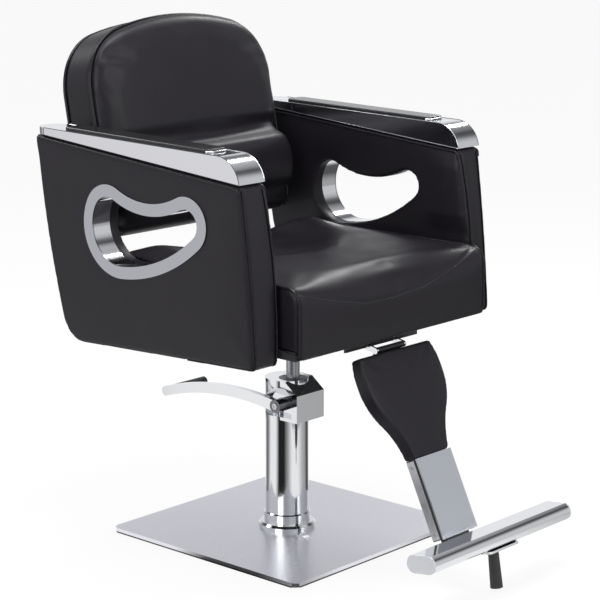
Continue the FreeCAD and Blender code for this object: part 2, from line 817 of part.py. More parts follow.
seat_top = seat_bottom + d.seat_thickness
arm_inner_face = d.seat_half_width + d.seat_arm_gap
seat_cushion = new_body("seat_cushion")
seat_sketch = plane_sketch(seat_cushion, "YZ_Plane", -d.seat_half_width)
outline(seat_sketch, (-d.seat_front, seat_bottom), (board_front - d.fit, seat_bottom),
        (board_front - d.fit, board_top), (d.seat_back, board_top),
        (d.seat_back, seat_top - d.seat_back_round, d.seat_back_round, OUT),
        (d.seat_back - d.seat_back_round, seat_top),
        (d.seat_front_round - d.seat_front, seat_top, d.seat_front_round, OUT),
        (-d.seat_front, seat_top - d.seat_front_round))
pad(seat_cushion, seat_sketch, d.seat_half_width * 2)


def on_seat_flank(edge):
    box = edge.BoundBox
    return box.XLength < 1e-6 and box.ZMax > board_top.value + 1


round_edges(seat_cushion, d.seat_side_round, on_seat_flank)
dish_radius = (d.dish_half_width * d.dish_half_width + d.dish_depth * d.dish_depth) / (d.dish_depth * 2)
dish_ball = ball("DishBall", dish_radius, y=d.dish_middle, z=seat_top + dish_radius - d.dish_depth)
boolean("Part::Cut", "seat_cushion", seat_cushion, dish_ball)

# The arms: upholstered panels with a kidney-shaped cut-out lined by a metal ring, and a metal cap with a pad

panel_bottom_front = seat_bottom - d.panel_front_hang
panel_bottom_rear = panel_bottom_front - d.panel_bottom_drop
heel_lobe_z = seat_bottom + d.heel_lobe_height
upper_lobe_z = heel_lobe_z + d.upper_lobe_lift
toe_lobe_z = seat_bottom + d.toe_lobe_height
panel_top_front = toe_lobe_z + d.panel_over_toe
panel_top_rear = panel_top_front + d.panel_top_rise
cap_top_front = panel_top_front + d.cap_front_height
cap_top_rear = cap_top_front + d.cap_top_rise


def kidney(sketch, grow):
    """The cut-out's outline, grown by an amount: five arcs that touch, two lobes at the rear, one at the
    front, a hollow brow over them and a long belly below."""
    heel = Vector(d.heel_lobe_back.value, heel_lobe_z.value, 0)
    toe = Vector(-d.toe_lobe_front.value, toe_lobe_z.value, 0)
    radii = [d.heel_lobe_radius + grow, d.upper_lobe_radius + grow, d.brow_radius - grow,
             d.toe_lobe_radius + grow, d.belly_radius + grow]
    lift = upper_lobe_z.value - heel.y
    apart = d.heel_lobe_radius.value - d.upper_lobe_radius.value
    upper = heel + Vector(math.sqrt(apart ** 2 - lift ** 2), lift, 0)
    brow = above(upper, d.upper_lobe_radius.value + d.brow_radius.value, toe,
                 d.toe_lobe_radius.value + d.brow_radius.value)
    belly = above(heel, d.belly_radius.value - d.heel_lobe_radius.value, toe,
                  d.belly_radius.value - d.toe_lobe_radius.value)
    touches = [towards(belly, heel, radii[4]), towards(heel, upper, radii[0]), towards(upper, brow, radii[1]),
               towards(toe, brow, radii[3]), towards(belly, toe, radii[4])]
    ends = [(touches[0], touches[1]), (touches[1], touches[2]), (touches[3], touches[2]),
            (touches[3], touches[4]), (touches[4], touches[0])]
    centres = [heel, upper, brow, toe, belly]
    first = sketch.GeometryCount
    for centre, radius, (start, end) in zip(centres, radii, ends):
        angles = [math.atan2(point.y - centre.y, point.x - centre.x) for point in (start, end)]
        if angles[1] < angles[0]:
            angles[1] += 2 * math.pi
        sketch.addGeometry(Part.ArcOfCircle(Part.Circle(centre, Vector(0, 0, 1), radius.value), *angles))
    meetings = ((0, 2, 1, 1), (1, 2, 2, 2), (2, 1, 3, 1), (3, 2, 4, 1), (4, 2, 0, 1))
    for one, one_end, other, other_end in meetings:
        touch = (first + one, one_end, first + other, other_end)
        sketch.addConstraint(Sketcher.Constraint("Tangent", *touch))
    for number, radius in enumerate(radii):
        fix(sketch, "Radius", first + number, radius)
    fix(sketch, "DistanceX", first, 3, d.heel_lobe_back)
    fix(sketch, "DistanceY", first, 3, heel_lobe_z)
    fix(sketch, "DistanceY", first + 1, 3, upper_lobe_z)
    fix(sketch, "DistanceX", first + 3, 3, -d.toe_lobe_front)
    fix(sketch, "DistanceY", first + 3, 3, toe_lobe_z)


def above(rear, rear_distance, front, front_distance):
    """The higher of the two points at given distances from a rear and a front point."""
    span = front - rear
    along = (rear_distance ** 2 - front_distance ** 2 + span.Length ** 2) / (2 * span.Length)
    rise = math.sqrt(rear_distance ** 2 - along ** 2)
    unit = span * (1 / span.Length)
    return rear + unit * along + Vector(unit.y, -unit.x, 0) * rise


def towards(start, target, radius):
    step = target - start
    return start + step * (radius.value / step.Length)


arm_outer_face = arm_inner_face + d.arm_thickness
back_foot_y = d.seat_back + d.back_foot_setback
back_foot_z = seat_top + d.back_foot_lift
back_cos, back_sin = cosine(d.back_lean), sine(d.back_lean)


def from_back(depth, height):
    """Where a point of the backrest's leaning frame lies in the chair: (y, z)."""
    return (back_foot_y - depth * back_cos + height * back_sin,
            back_foot_z + depth * back_sin + height * back_cos)


back_bolt_places = [from_back(d.back_bolt_depth, height) for height in (d.back_bolt_low, d.back_bolt_high)]


def facing_sideways(edge):
    return edge.BoundBox.XLength < 1e-6


def arm_panel(name, side):
    start = arm_inner_face if side == LEFT else -arm_outer_face
    body = new_body("arm_panel_" + name)
    sketch = plane_sketch(body, "YZ_Plane", start)
    outline(sketch, (-d.panel_front_low, panel_bottom_front), (d.panel_rear_low, panel_bottom_rear),
            (d.panel_rear_high, panel_top_rear), (-d.panel_front_high, panel_top_front))
    pad(body, sketch, d.arm_thickness)

    def heel_edge(edge):
        box = edge.BoundBox
        return crosswise(edge) and box.YMin > 0 and box.ZMax < heel_lobe_z.value

    round_edges(body, d.panel_heel, heel_edge)

    def other_corner(edge):
        box = edge.BoundBox
        return crosswise(edge) and (box.YMin < 0 or box.ZMin > heel_lobe_z.value)

    round_edges(body, d.panel_corner, other_corner)
    round_edges(body, d.panel_roll, facing_sideways)
    hole_sketch = plane_sketch(body, "YZ_Plane", start)
    kidney(hole_sketch, ZERO)
    pocket(body, hole_sketch, d.arm_thickness)
    ring_seat = d.ring_depth + d.joint_gap
    ring_seat_sketch = plane_sketch(body, "YZ_Plane", arm_outer_face - ring_seat if side == LEFT else start)
    kidney(ring_seat_sketch, d.ring_wall + d.fit)
    pocket(body, ring_seat_sketch, ring_seat)
    for places, radius, depth in ((arm_bolt_places, d.arm_bolt_radius, d.arm_bolt_in_panel),
                                  (back_bolt_places, d.back_bolt_radius, d.back_bolt_in_panel)):
        hole_start = arm_inner_face if side == LEFT else -(arm_inner_face + depth + d.fit)
        drill_crosswise(body, places, radius + d.fit, hole_start, depth + d.fit)


def arm_ring(name, side):
    start = arm_outer_face - d.ring_depth if side == LEFT else -arm_outer_face
    body = new_body("arm_ring_" + name)
    wall_sketch = plane_sketch(body, "YZ_Plane", start)
    kidney(wall_sketch, d.ring_wall)
    kidney(wall_sketch, ZERO)
    pad(body, wall_sketch, d.ring_depth)
    flange_start = arm_outer_face if side == LEFT else -(arm_outer_face + d.ring_sheet)
    flange_sketch = plane_sketch(body, "YZ_Plane", flange_start)
    kidney(flange_sketch, d.ring_flange)
    kidney(flange_sketch, ZERO)
    pad(body, flange_sketch, d.ring_sheet)


cap_slope = (cap_top_rear - cap_top_front) / (d.cap_rear + d.nose_start)
seam_slope = (panel_top_rear - panel_top_front) / (d.panel_rear_high + d.panel_front_high)


def cap_line(y):
    return cap_top_front + (y + d.nose_start) * cap_slope


def seam_line(y):
    return panel_top_front + (y + d.panel_front_high) * seam_slope + d.cap_seam


def arm_cap(name, side):
    start = arm_inner_face if side == LEFT else -arm_outer_face
    body = new_body("arm_cap_" + name)
    sketch = plane_sketch(body, "YZ_Plane", start)
    nose_end = -d.panel_front_high
    outline(sketch, (nose_end, seam_line(nose_end)), (d.cap_rear, seam_line(d.cap_rear)),
            (d.cap_rear, cap_top_rear), (-d.nose_start, cap_top_front, d.nose_radius, OUT))
    pad(body, sketch, d.arm_thickness)

    def rear_corner(edge):
        return upright(edge) and edge.BoundBox.YMin > 0

    round_edges(body, d.cap_rear_round, rear_corner)
    rib_start, rib_end = d.cap_rib_inset - d.panel_front_high, d.cap_rear - d.cap_rear_round
    rib_sketch = plane_sketch(body, "YZ_Plane", start + d.cap_rib_inset)
    outline(rib_sketch, (rib_start, seam_line(rib_start) - d.cap_seam),
            (rib_end, seam_line(rib_end) - d.cap_seam), (rib_end, seam_line(rib_end)),
            (rib_start, seam_line(rib_start)))
    pad(body, rib_sketch, d.arm_thickness - d.cap_rib_inset * 2)


def arm_pad(name, side):
    middle = (arm_inner_face + d.arm_thickness / 2) * side
    body = new_body("arm_pad_" + name)
    sketch = plane_sketch(body, "YZ_Plane", middle - d.arm_pad_half_width)
    front, rear = -d.arm_pad_front, d.arm_pad_rear
    outline(sketch, (front, cap_line(front)), (rear, cap_line(rear)),
            (rear, cap_line(rear) + d.arm_pad_thickness), (front, cap_line(front) + d.arm_pad_thickness))
    pad(body, sketch, d.arm_pad_half_width * 2)
    round_edges(body, d.arm_pad_end_round, upright)

    def top_edge(edge):
        box = edge.BoundBox
        middle_y = (box.YMin + box.YMax) / 2
        return box.ZMin > cap_line(as_size(middle_y)).value + d.arm_pad_thickness.value / 2

    round_edges(body, d.arm_pad_edge, top_edge)


for side_name, side in SIDES.items():
    arm_panel(side_name, side)
    arm_ring(side_name, side)
    arm_cap(side_name, side)
    arm_pad(side_name, side)


def side_bolts(label, places, radius, inner_end, outer_end):
    """Bolts across the chair's two sides, from a place in the middle part to a place in the arm panel."""
    bolts = []
    for name, side in SIDES.items():
        ends = (inner_end, outer_end) if side == LEFT else (-outer_end, -inner_end)
        for number, (y, z) in enumerate(places):
            bolts.append(bar_crosswise(f"{label}_{name}_{number}", y, z, radius, ends))
    group(label, bolts)


side_bolts("arm_bolts", arm_bolt_places, d.arm_bolt_radius, d.seat_half_width - d.arm_bolt_in_board,
           arm_inner_face + d.arm_bolt_in_panel)

# The backrest: a timber frame in a deep cushion with a lumbar roll and a rear cover, bolted between the arms


def back_half_at(height):
    """Half the backrest's width at a height below its shoulders."""
    return back_foot_half - height * tangent(d.back_side_angle)


def back_outline(sketch, inset):
    """A flat foot, sides that draw in, and round shoulders that run into an arched top, all touching."""
    foot = back_half_at(inset) - inset
    top_radius, shoulder_radius = d.back_top_radius - inset, d.back_shoulder_radius - inset
    top_centre = d.back_height - d.back_top_radius
    lean = math.radians(d.back_side_angle.value)
    up = Vector(-math.sin(lean), math.cos(lean), 0)
    inwards = Vector(-math.cos(lean), -math.sin(lean), 0)
    foot_corner, arch = Vector(foot.value, inset.value, 0), Vector(0, top_centre.value, 0)
    start = foot_corner + inwards * shoulder_radius.value - arch
    reach = top_radius.value - shoulder_radius.value
    along = math.sqrt((start * up) ** 2 - start.Length ** 2 + reach ** 2) - start * up
    shoulder = arch + start + up * along
    side_end = shoulder - inwards * shoulder_radius.value
    crown_end = arch + (shoulder - arch) * (top_radius.value / reach)

    def mirrored(point):
        return Vector(-point.x, point.y, 0)

    def arc(centre, radius, begin, end):
        angles = [math.atan2(point.y - centre.y, point.x - centre.x) for point in (begin, end)]
        if angles[1] < angles[0]:
            angles[1] += 2 * math.pi
        return Part.ArcOfCircle(Part.Circle(centre, Vector(0, 0, 1), radius.value), *angles)

    first = sketch.GeometryCount
    sketch.addGeometry(Part.LineSegment(mirrored(foot_corner), foot_corner))
    sketch.addGeometry(Part.LineSegment(foot_corner, side_end))
    sketch.addGeometry(arc(shoulder, shoulder_radius, side_end, crown_end))
    sketch.addGeometry(arc(arch, top_radius, crown_end, mirrored(crown_end)))
    sketch.addGeometry(arc(mirrored(shoulder), shoulder_radius, mirrored(crown_end), mirrored(side_end)))
    sketch.addGeometry(Part.LineSegment(mirrored(side_end), mirrored(foot_corner)))
    sketch.addConstraint(Sketcher.Constraint("Coincident", first, 2, first + 1, 1))
    sketch.addConstraint(Sketcher.Constraint("Coincident", first + 5, 2, first, 1))
    for edge in range(1, 5):
        sketch.addConstraint(Sketcher.Constraint("Tangent", first + edge, 2, first + edge + 1, 1))
    for edge, radius in ((2, shoulder_radius), (3, top_radius), (4, shoulder_radius)):
        fix(sketch, "Radius", first + edge, radius)
    fix(sketch, "DistanceX", first, 1, -foot)
    fix(sketch, "DistanceY", first, 1, inset)
    fix(sketch, "DistanceX", first, 2, foot)
    fix(sketch, "DistanceY", first, 2, inset)
    fix(sketch, "DistanceX", first + 3, 3, ZERO)
    fix(sketch, "DistanceY", first + 3, 3, top_centre)
    for edge, turn in ((1, d.back_side_angle + 90), (5, -d.back_side_angle - 90)):
        constraint = Sketcher.Constraint("Angle", first + edge, math.radians(turn.value))
        index = sketch.addConstraint(constraint)
        sketch.setExpression(f"Constraints[{index}]", f"{turn.text} * 1deg")


def back_bottom_corner(edge):
    box = edge.BoundBox
    return box.XLength < 1e-6 and box.ZLength < 1e-6 and box.ZMax < d.back_height.value / 2


back_foot_half = arm_inner_face - d.back_arm_gap
rear_cover = new_body("rear_cover")
cover_sketch = plane_sketch(rear_cover, "XZ_Plane")
back_outline(cover_sketch, d.back_rear_round / 2)
pad(rear_cover, cover_sketch, d.rear_cover_thickness)
round_edges(rear_cover, d.back_foot_radius, back_bottom_corner)
round_edges(rear_cover, d.back_rear_round, lambda edge: edge.BoundBox.YMin > -1e-6)

back_frame = new_body("back_frame")
frame_sketch = plane_sketch(back_frame, "XZ_Plane", d.rear_cover_thickness)
back_outline(frame_sketch, d.frame_inset)
pad(back_frame, frame_sketch, d.frame_depth)
frame_bolt_places = [(-d.back_bolt_depth, d.back_bolt_low), (-d.back_bolt_depth, d.back_bolt_high)]
spacer_start = back_half_at(d.back_bolt_high) - d.frame_inset
bolt_inner_end = spacer_start - d.back_bolt_in_frame

back_depth = d.back_band + d.back_swell
back_cushion = new_body("back_cushion")
cushion_sketch = plane_sketch(back_cushion, "XZ_Plane", d.rear_cover_thickness)
back_outline(cushion_sketch, ZERO)
pad(back_cushion, cushion_sketch, back_depth - d.rear_cover_thickness + d.back_crown)
round_edges(back_cushion, d.back_foot_radius, back_bottom_corner)
crown_radius = (back_foot_half * back_foot_half + d.back_crown * d.back_crown) / (d.back_crown * 2)
crown_front(back_cushion, crown_radius, back_depth, d.back_crown_height, -d.back_foot_radius,
            d.back_height + d.back_foot_radius, d.back_swell)
round_edges(back_cushion, d.back_front_round, lambda edge: edge.BoundBox.YMax < -d.back_band.value)

roll_half = back_foot_half - d.lumbar_end
roll_axis = back_depth + d.lumbar_proud - d.lumbar_radius
roll_sketch = plane_sketch(back_cushion, "XZ_Plane", roll_axis)
roll_sketch.setExpression("AttachmentOffset.Base.y", d.lumbar_middle.text)
outline(roll_sketch, (-roll_half, ZERO), (roll_half, ZERO),
        (roll_half, d.lumbar_radius - d.lumbar_round, d.lumbar_round, OUT),
        (roll_half - d.lumbar_round, d.lumbar_radius),
        (d.lumbar_round - roll_half, d.lumbar_radius, d.lumbar_round, OUT),
        (-roll_half, d.lumbar_radius - d.lumbar_round))
revolve(back_cushion, roll_sketch, "H_Axis")
rear_sketch = plane_sketch(back_cushion, "XZ_Plane", -d.lumbar_radius)
rectangle(rear_sketch, -arm_inner_face, arm_inner_face, -d.back_height, d.back_height * 2)
pocket(back_cushion, rear_sketch, d.lumbar_radius + d.rear_cover_thickness)
frame_hollow = plane_sketch(back_cushion, "XZ_Plane", d.rear_cover_thickness)
back_outline(frame_hollow, d.frame_inset - d.fit)
pocket(back_cushion, frame_hollow, d.frame_depth + d.fit)

for frame_side in SIDES.values():
    hole_depth = d.back_bolt_in_frame + d.frame_inset + d.joint_gap
    hole_start = bolt_inner_end if frame_side == LEFT else -(bolt_inner_end + hole_depth)
    drill_crosswise(back_frame, frame_bolt_places, d.back_bolt_radius + d.fit, hole_start, hole_depth)
    wall_start = spacer_start - d.frame_inset if frame_side == LEFT else -arm_inner_face
    drill_crosswise(back_cushion, frame_bolt_places, d.spacer_radius + d.fit, wall_start,
                    arm_inner_face - spacer_start + d.frame_inset)

for back_piece in (rear_cover, back_frame, back_cushion):
    lean(back_piece, back_foot_y, back_foot_z, d.back_lean)

side_bolts("back_bolts", back_bolt_places, d.back_bolt_radius, bolt_inner_end,
           arm_inner_face + d.back_bolt_in_panel)

spacers = []
for side_name, side in SIDES.items():
    for height, (y, z) in zip((d.back_bolt_low, d.back_bolt_high), back_bolt_places):
        seat_x = back_half_at(height - d.spacer_radius) - d.frame_inset + d.joint_gap
        bore = d.back_bolt_radius + d.fit
        near, far = (seat_x, arm_inner_face) if side == LEFT else (-arm_inner_face, -seat_x)
        spacers.append(turned_crosswise(f"back_spacer_{side_name}_{len(spacers)}", (near, bore), (far, bore),
                                        (far, d.spacer_radius), (near, d.spacer_radius), y=y, z=z))
group("back_spacers", spacers)

# The leg rest's bracket: a plate under the seat's front with a folded lip, and two straps for the hinge pin

hinge_y, hinge_z = d.leg_hinge_setback - d.seat_front, seat_bottom - d.leg_hinge_drop
bracket_bottom = seat_bottom - d.bracket_thickness
bracket_front = d.bracket_setback - d.seat_front
bracket_plate = slab("legrest_bracket", (-d.bracket_half_width, d.bracket_half_width),
                     (bracket_front, bracket_front + d.bracket_depth), (bracket_bottom, seat_bottom),
                     d.bracket_corner)
strap_inner = d.hinge_half_width + d.joint_gap
strap_outer = strap_inner + d.strap_thickness
lip_sketch = plane_sketch(bracket_plate, "XY_Plane", bracket_bottom - d.lip_depth)
lip_front = bracket_front + d.lip_setback
lip_end = d.bracket_half_width - d.bracket_corner
for lip_left, lip_right in ((-lip_end, -strap_outer - d.lip_strap_gap),
                            (d.lip_strap_gap - strap_inner, strap_inner - d.lip_strap_gap),
                            (strap_outer + d.lip_strap_gap, lip_end)):
    rectangle(lip_sketch, lip_left, lip_right, lip_front, lip_front + d.lip_thickness)
pad(bracket_plate, lip_sketch, d.lip_depth)

strap_tip = d.hinge_barrel_radius
straps = []
for side_name, side in SIDES.items():
    strap = new_body("hinge_strap_" + side_name)
    strap_start = strap_inner if side == LEFT else -(strap_inner + d.strap_thickness)
    strap_sketch = plane_sketch(strap, "YZ_Plane", strap_start)
    outline(strap_sketch, (hinge_y, hinge_z - strap_tip), (hinge_y + d.strap_length, bracket_bottom),
            (hinge_y + d.strap_length - d.strap_foot, bracket_bottom),
            (hinge_y, hinge_z + strap_tip, strap_tip * 1.001, OUT))
    pad(strap, strap_sketch, d.strap_thickness)
    drill_crosswise(strap, [(hinge_y, hinge_z)], d.hinge_pin_radius + d.running, strap_start,
                    d.strap_thickness)
    straps.append(strap)
group("hinge_straps", straps)
pin_half = strap_inner + d.strap_thickness
bar_crosswise("hinge_pin", hinge_y, hinge_z, d.hinge_pin_radius, (-pin_half, pin_half))

# The leg rest: a shield-shaped pad on a board, carried by a tongue, over a stem with a bright front plate

leg_pieces = []
tongue_rear = d.leg_pad_rear + d.leg_board_thickness + d.tongue_thickness
tongue_front = tongue_rear - d.tongue_thickness

tongue = new_body("legrest_tongue")
barrel_sketch = plane_sketch(tongue, "YZ_Plane", -d.hinge_half_width)
circle(barrel_sketch, ZERO, ZERO, d.hinge_barrel_radius)
pad(tongue, barrel_sketch, d.hinge_half_width * 2)
leaf_sketch = plane_sketch(tongue, "YZ_Plane", -d.hinge_half_width)
outline(leaf_sketch, (tongue_front, -d.tongue_length), (tongue_rear, -d.tongue_length),
        (tongue_rear, -d.hinge_barrel_radius), (d.hinge_barrel_radius / 2, d.hinge_barrel_radius / 2),
        (ZERO, ZERO), (tongue_front, -tongue_front))
pad(tongue, leaf_sketch, d.hinge_half_width * 2)
drill_crosswise(tongue, [(ZERO, ZERO)], d.hinge_pin_radius + d.running, -d.hinge_half_width,
                d.hinge_half_width * 2)
leg_pieces.append(tongue)


def leg_outline(sketch, inset):
    shoulder = d.leg_pad_top_half_width - inset
    waist = d.leg_pad_waist_half_width - inset
    foot = d.stem_half_width - inset
    top, bottom = -d.leg_pad_top - inset, -d.leg_pad_bottom + inset
    outline(sketch, (-foot, bottom), (foot, bottom, d.leg_pad_throat_radius, IN),
            (waist, -d.leg_pad_waist, d.leg_pad_shoulder_radius, OUT), (shoulder, top), (-shoulder, top,
            d.leg_pad_shoulder_radius, OUT), (-waist, -d.leg_pad_waist, d.leg_pad_throat_radius, IN))


leg_board = new_body("legrest_board")
leg_board_sketch = plane_sketch(leg_board, "XZ_Plane", -tongue_front)
leg_outline(leg_board_sketch, d.leg_board_inset)
pad(leg_board, leg_board_sketch, d.leg_board_thickness)
leg_pieces.append(leg_board)

leg_pad = new_body("legrest_pad")
leg_pad_sketch = plane_sketch(leg_pad, "XZ_Plane", -tongue_front)
leg_outline(leg_pad_sketch, ZERO)
pad(leg_pad, leg_pad_sketch, tongue_front + d.leg_pad_front)
round_edges(leg_pad, d.leg_pad_round, lambda edge: edge.BoundBox.YMax < 1e-3 - d.leg_pad_front.value)
board_space = plane_sketch(leg_pad, "XZ_Plane", -tongue_front)
leg_outline(board_space, d.leg_board_inset - d.fit)
pocket(leg_pad, board_space, d.leg_board_thickness)
notch_half = d.hinge_half_width + d.tongue_clearance
notch_sketch = plane_sketch(leg_pad, "YZ_Plane", -notch_half)
outline(notch_sketch, (ZERO, -d.tongue_clearance), (tongue_front, -tongue_front - d.tongue_clearance),
        (tongue_front, d.tongue_clearance), (ZERO, d.tongue_clearance))
pocket(leg_pad, notch_sketch, notch_half * 2)
leg_crown = ball("LegCrown", d.leg_pad_crown_radius, y=d.leg_pad_crown_radius - d.leg_pad_front + d.fit,
                 z=-(d.leg_pad_top + d.leg_pad_bottom) / 2)
leg_pieces.append(boolean("Part::Common", "legrest_pad", leg_pad, leg_crown))

stem_top = -d.leg_pad_bottom
plate_rear = d.stem_plate_thickness - d.stem_front
core_half = d.stem_half_width - d.strip_thickness
lug_y, lug_z = -d.lug_set_back, -(d.stem_bottom + d.lug_drop)

stem_plate = slab("stem_front_plate", (-d.stem_half_width, d.stem_half_width), (-d.stem_front, plate_rear),
                  (-d.stem_bottom, stem_top))
leg_pieces.append(stem_plate)

stem_core = slab("stem_core", (-core_half, core_half), (plate_rear, tongue_front), (-d.stem_bottom, stem_top))
spine_sketch = plane_sketch(stem_core, "XY_Plane", -d.stem_bottom)
rectangle(spine_sketch, -d.spine_half_width, d.spine_half_width, tongue_front, tongue_rear)
pad(stem_core, spine_sketch, d.stem_bottom - d.tongue_length)
lug_sketch = plane_sketch(stem_core, "YZ_Plane", -d.lug_half_width)
outline(lug_sketch, (lug_y - d.lug_radius, lug_z), (lug_y + d.lug_radius, lug_z),
        (lug_y + d.lug_radius, -d.stem_bottom), (lug_y - d.lug_radius, -d.stem_bottom))
pad(stem_core, lug_sketch, d.lug_half_width * 2)
lug_end_sketch = plane_sketch(stem_core, "YZ_Plane", -d.lug_half_width)
circle(lug_end_sketch, lug_y, lug_z, d.lug_radius)
pad(stem_core, lug_end_sketch, d.lug_half_width * 2)
drill_crosswise(stem_core, [(lug_y, lug_z)], d.hinge_pin_radius + d.running, -d.lug_half_width,
                d.lug_half_width * 2)
leg_pieces.append(stem_core)

strips = []
for side_name, side in SIDES.items():
    strip_x = (core_half, d.stem_half_width) if side == LEFT else (-d.stem_half_width, -core_half)
    strips.append(slab("stem_strip_" + side_name, strip_x, (-d.strip_front, d.strip_rear),
                       (d.strip_end_gap - d.stem_bottom, stem_top - d.strip_end_gap)))
leg_pieces.append(group("stem_strips", strips))

for leg_piece in leg_pieces:
    lean(leg_piece, hinge_y, hinge_z, d.leg_lean)

# The foot bar: a flat-topped oval tube on a plate that hinges at the lug, with a rubber peg below

leg_cos, leg_sin = cosine(d.leg_lean), sine(d.leg_lean)
pin_y = hinge_y + lug_y * leg_cos + lug_z * leg_sin
pin_z = hinge_z - lug_y * leg_sin + lug_z * leg_cos
bar_pieces = []

pin_half_length = d.lug_half_width + d.joint_gap + d.knuckle_width
bar_pieces.append(bar_crosswise("footbar_pin", ZERO, ZERO, d.hinge_pin_radius,
                                (-pin_half_length, pin_half_length)))

plate_rear_edge = -(d.lug_radius + d.joint_gap * 4)
bracket = slab("footbar_bracket", (-d.plate_half_width, d.plate_half_width),
               (-d.plate_front, plate_rear_edge), (-d.plate_thickness, ZERO))


def front_corner(edge):
    return upright(edge) and edge.BoundBox.YMin < -d.plate_front.value + 1e-3


round_edges(bracket, d.plate_corner, front_corner)
for side in SIDES.values():
    knuckle_inner = d.lug_half_width + d.joint_gap
    knuckle_start = knuckle_inner if side == LEFT else -(knuckle_inner + d.knuckle_width)
    knuckle_sketch = plane_sketch(bracket, "YZ_Plane", knuckle_start)
    outline(knuckle_sketch, (plate_rear_edge * 2, -d.plate_thickness),
            (ZERO, -d.lug_radius, d.lug_radius * 1.001, OUT), (ZERO, d.lug_radius),
            (plate_rear_edge * 2, ZERO))
    pad(bracket, knuckle_sketch, d.knuckle_width)
drill_crosswise(bracket, [(ZERO, ZERO)], d.hinge_pin_radius + d.running, -pin_half_length,
                pin_half_length * 2)
bolt_places = [(d.plate_bolt_side, -d.bar_forward), (-d.plate_bolt_side, -d.bar_forward)]
drill(bracket, bolt_places, d.plate_bolt_radius + d.fit, -d.plate_thickness, d.plate_thickness)
drill(bracket, [(ZERO, -d.bar_forward)], d.peg_stud_radius + d.running, -d.plate_thickness, d.plate_thickness)
bar_pieces.append(bracket)


def bar_section(sketch, inset):
    """The tube's section: a flat top, full sides and a rounded belly."""
    half, flat = d.bar_width / 2 - inset, d.bar_flat / 2
    middle, top, bottom = d.bar_height / 2, d.bar_height - inset, inset
    flank = d.bar_height / 2 - inset
    rear, front = -d.bar_forward + half, -d.bar_forward - half
    rear_flat, front_flat = -d.bar_forward + flat, -d.bar_forward - flat
    outline(sketch, (front, middle, flank, OUT), (-d.bar_forward - half + flank, bottom),
            (-d.bar_forward + half - flank, bottom, flank, OUT), (rear, middle, d.bar_height * 0.6, OUT),
            (rear_flat, top), (front_flat, top, d.bar_height * 0.6, OUT))


tube = new_body("footbar_tube")
tube_sketch = plane_sketch(tube, "YZ_Plane", -d.bar_half_length)
bar_section(tube_sketch, ZERO)
bar_section(tube_sketch, d.bar_wall)
pad(tube, tube_sketch, d.bar_half_length * 2)
drill(tube, bolt_places + [(ZERO, -d.bar_forward)], d.peg_stud_radius + d.running, ZERO, d.bar_wall)
bar_pieces.append(tube)

end_caps = []
for side_name, side in SIDES.items():
    cap = new_body("footbar_cap_" + side_name)
    cap_start = d.bar_half_length if side == LEFT else -(d.bar_half_length + d.bar_cap_thickness)
    cap_sketch = plane_sketch(cap, "YZ_Plane", cap_start)
    bar_section(cap_sketch, ZERO)
    pad(cap, cap_sketch, d.bar_cap_thickness)
    end_caps.append(cap)
bar_pieces.append(group("footbar_caps", end_caps))

plate_bolts = [bolt(f"plate_bolt_{number}", x, y, -(d.plate_thickness + d.plate_bolt_head_height),
                    d.plate_bolt_head, d.plate_bolt_head_height, d.plate_bolt_radius,
                    d.plate_thickness + d.plate_bolt_head_height + d.plate_bolt_grip)
               for number, (x, y) in enumerate(bolt_places)]
bar_pieces.append(group("footbar_bolts", plate_bolts))

peg_top = -d.plate_thickness
stud_bottom = peg_top - d.peg_stud_length
peg_stud = turned("peg_stud", (ZERO, stud_bottom), (d.peg_stud_radius, stud_bottom),
                  (d.peg_stud_radius, d.bar_wall), (ZERO, d.bar_wall))
peg_bore = d.peg_stud_radius + d.running
peg_bottom = peg_top - d.peg_length
peg_sleeve = turned("peg_sleeve", (ZERO, peg_bottom), (d.peg_bottom_radius, peg_bottom),
                    (d.peg_top_radius, peg_top), (peg_bore, peg_top), (peg_bore, stud_bottom),
                    (ZERO, stud_bottom))

for bar_piece in bar_pieces:
    lean(bar_piece, pin_y, pin_z, d.bar_tilt)
peg_y = pin_y - d.bar_forward * cosine(d.bar_tilt)
peg_z = pin_z + d.bar_forward * sine(d.bar_tilt)
for peg_piece in (peg_stud, peg_sleeve):
    lean(peg_piece, peg_y, peg_z, d.bar_tilt)

doc.recompute()
failed = [piece.Label for piece in doc.Objects if {"Invalid", "Error"} & set(piece.State)]
failed += [label for label, piece in nodes.items() if piece.Shape.isNull() or not piece.Shape.isValid()]
if failed:
    raise RuntimeError("these did not build: " + ", ".join(failed))

os.makedirs("parts", exist_ok=True)
for label, piece in nodes.items():
    piece.Shape.exportStep(f"parts/{label}.step")
print(len(nodes), "nodes written")
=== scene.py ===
import math
import bmesh
import bpy
import numpy as np
from mathutils import Matrix, Vector
from mathutils.bvhtree import BVHTree
from mathutils.kdtree import KDTree


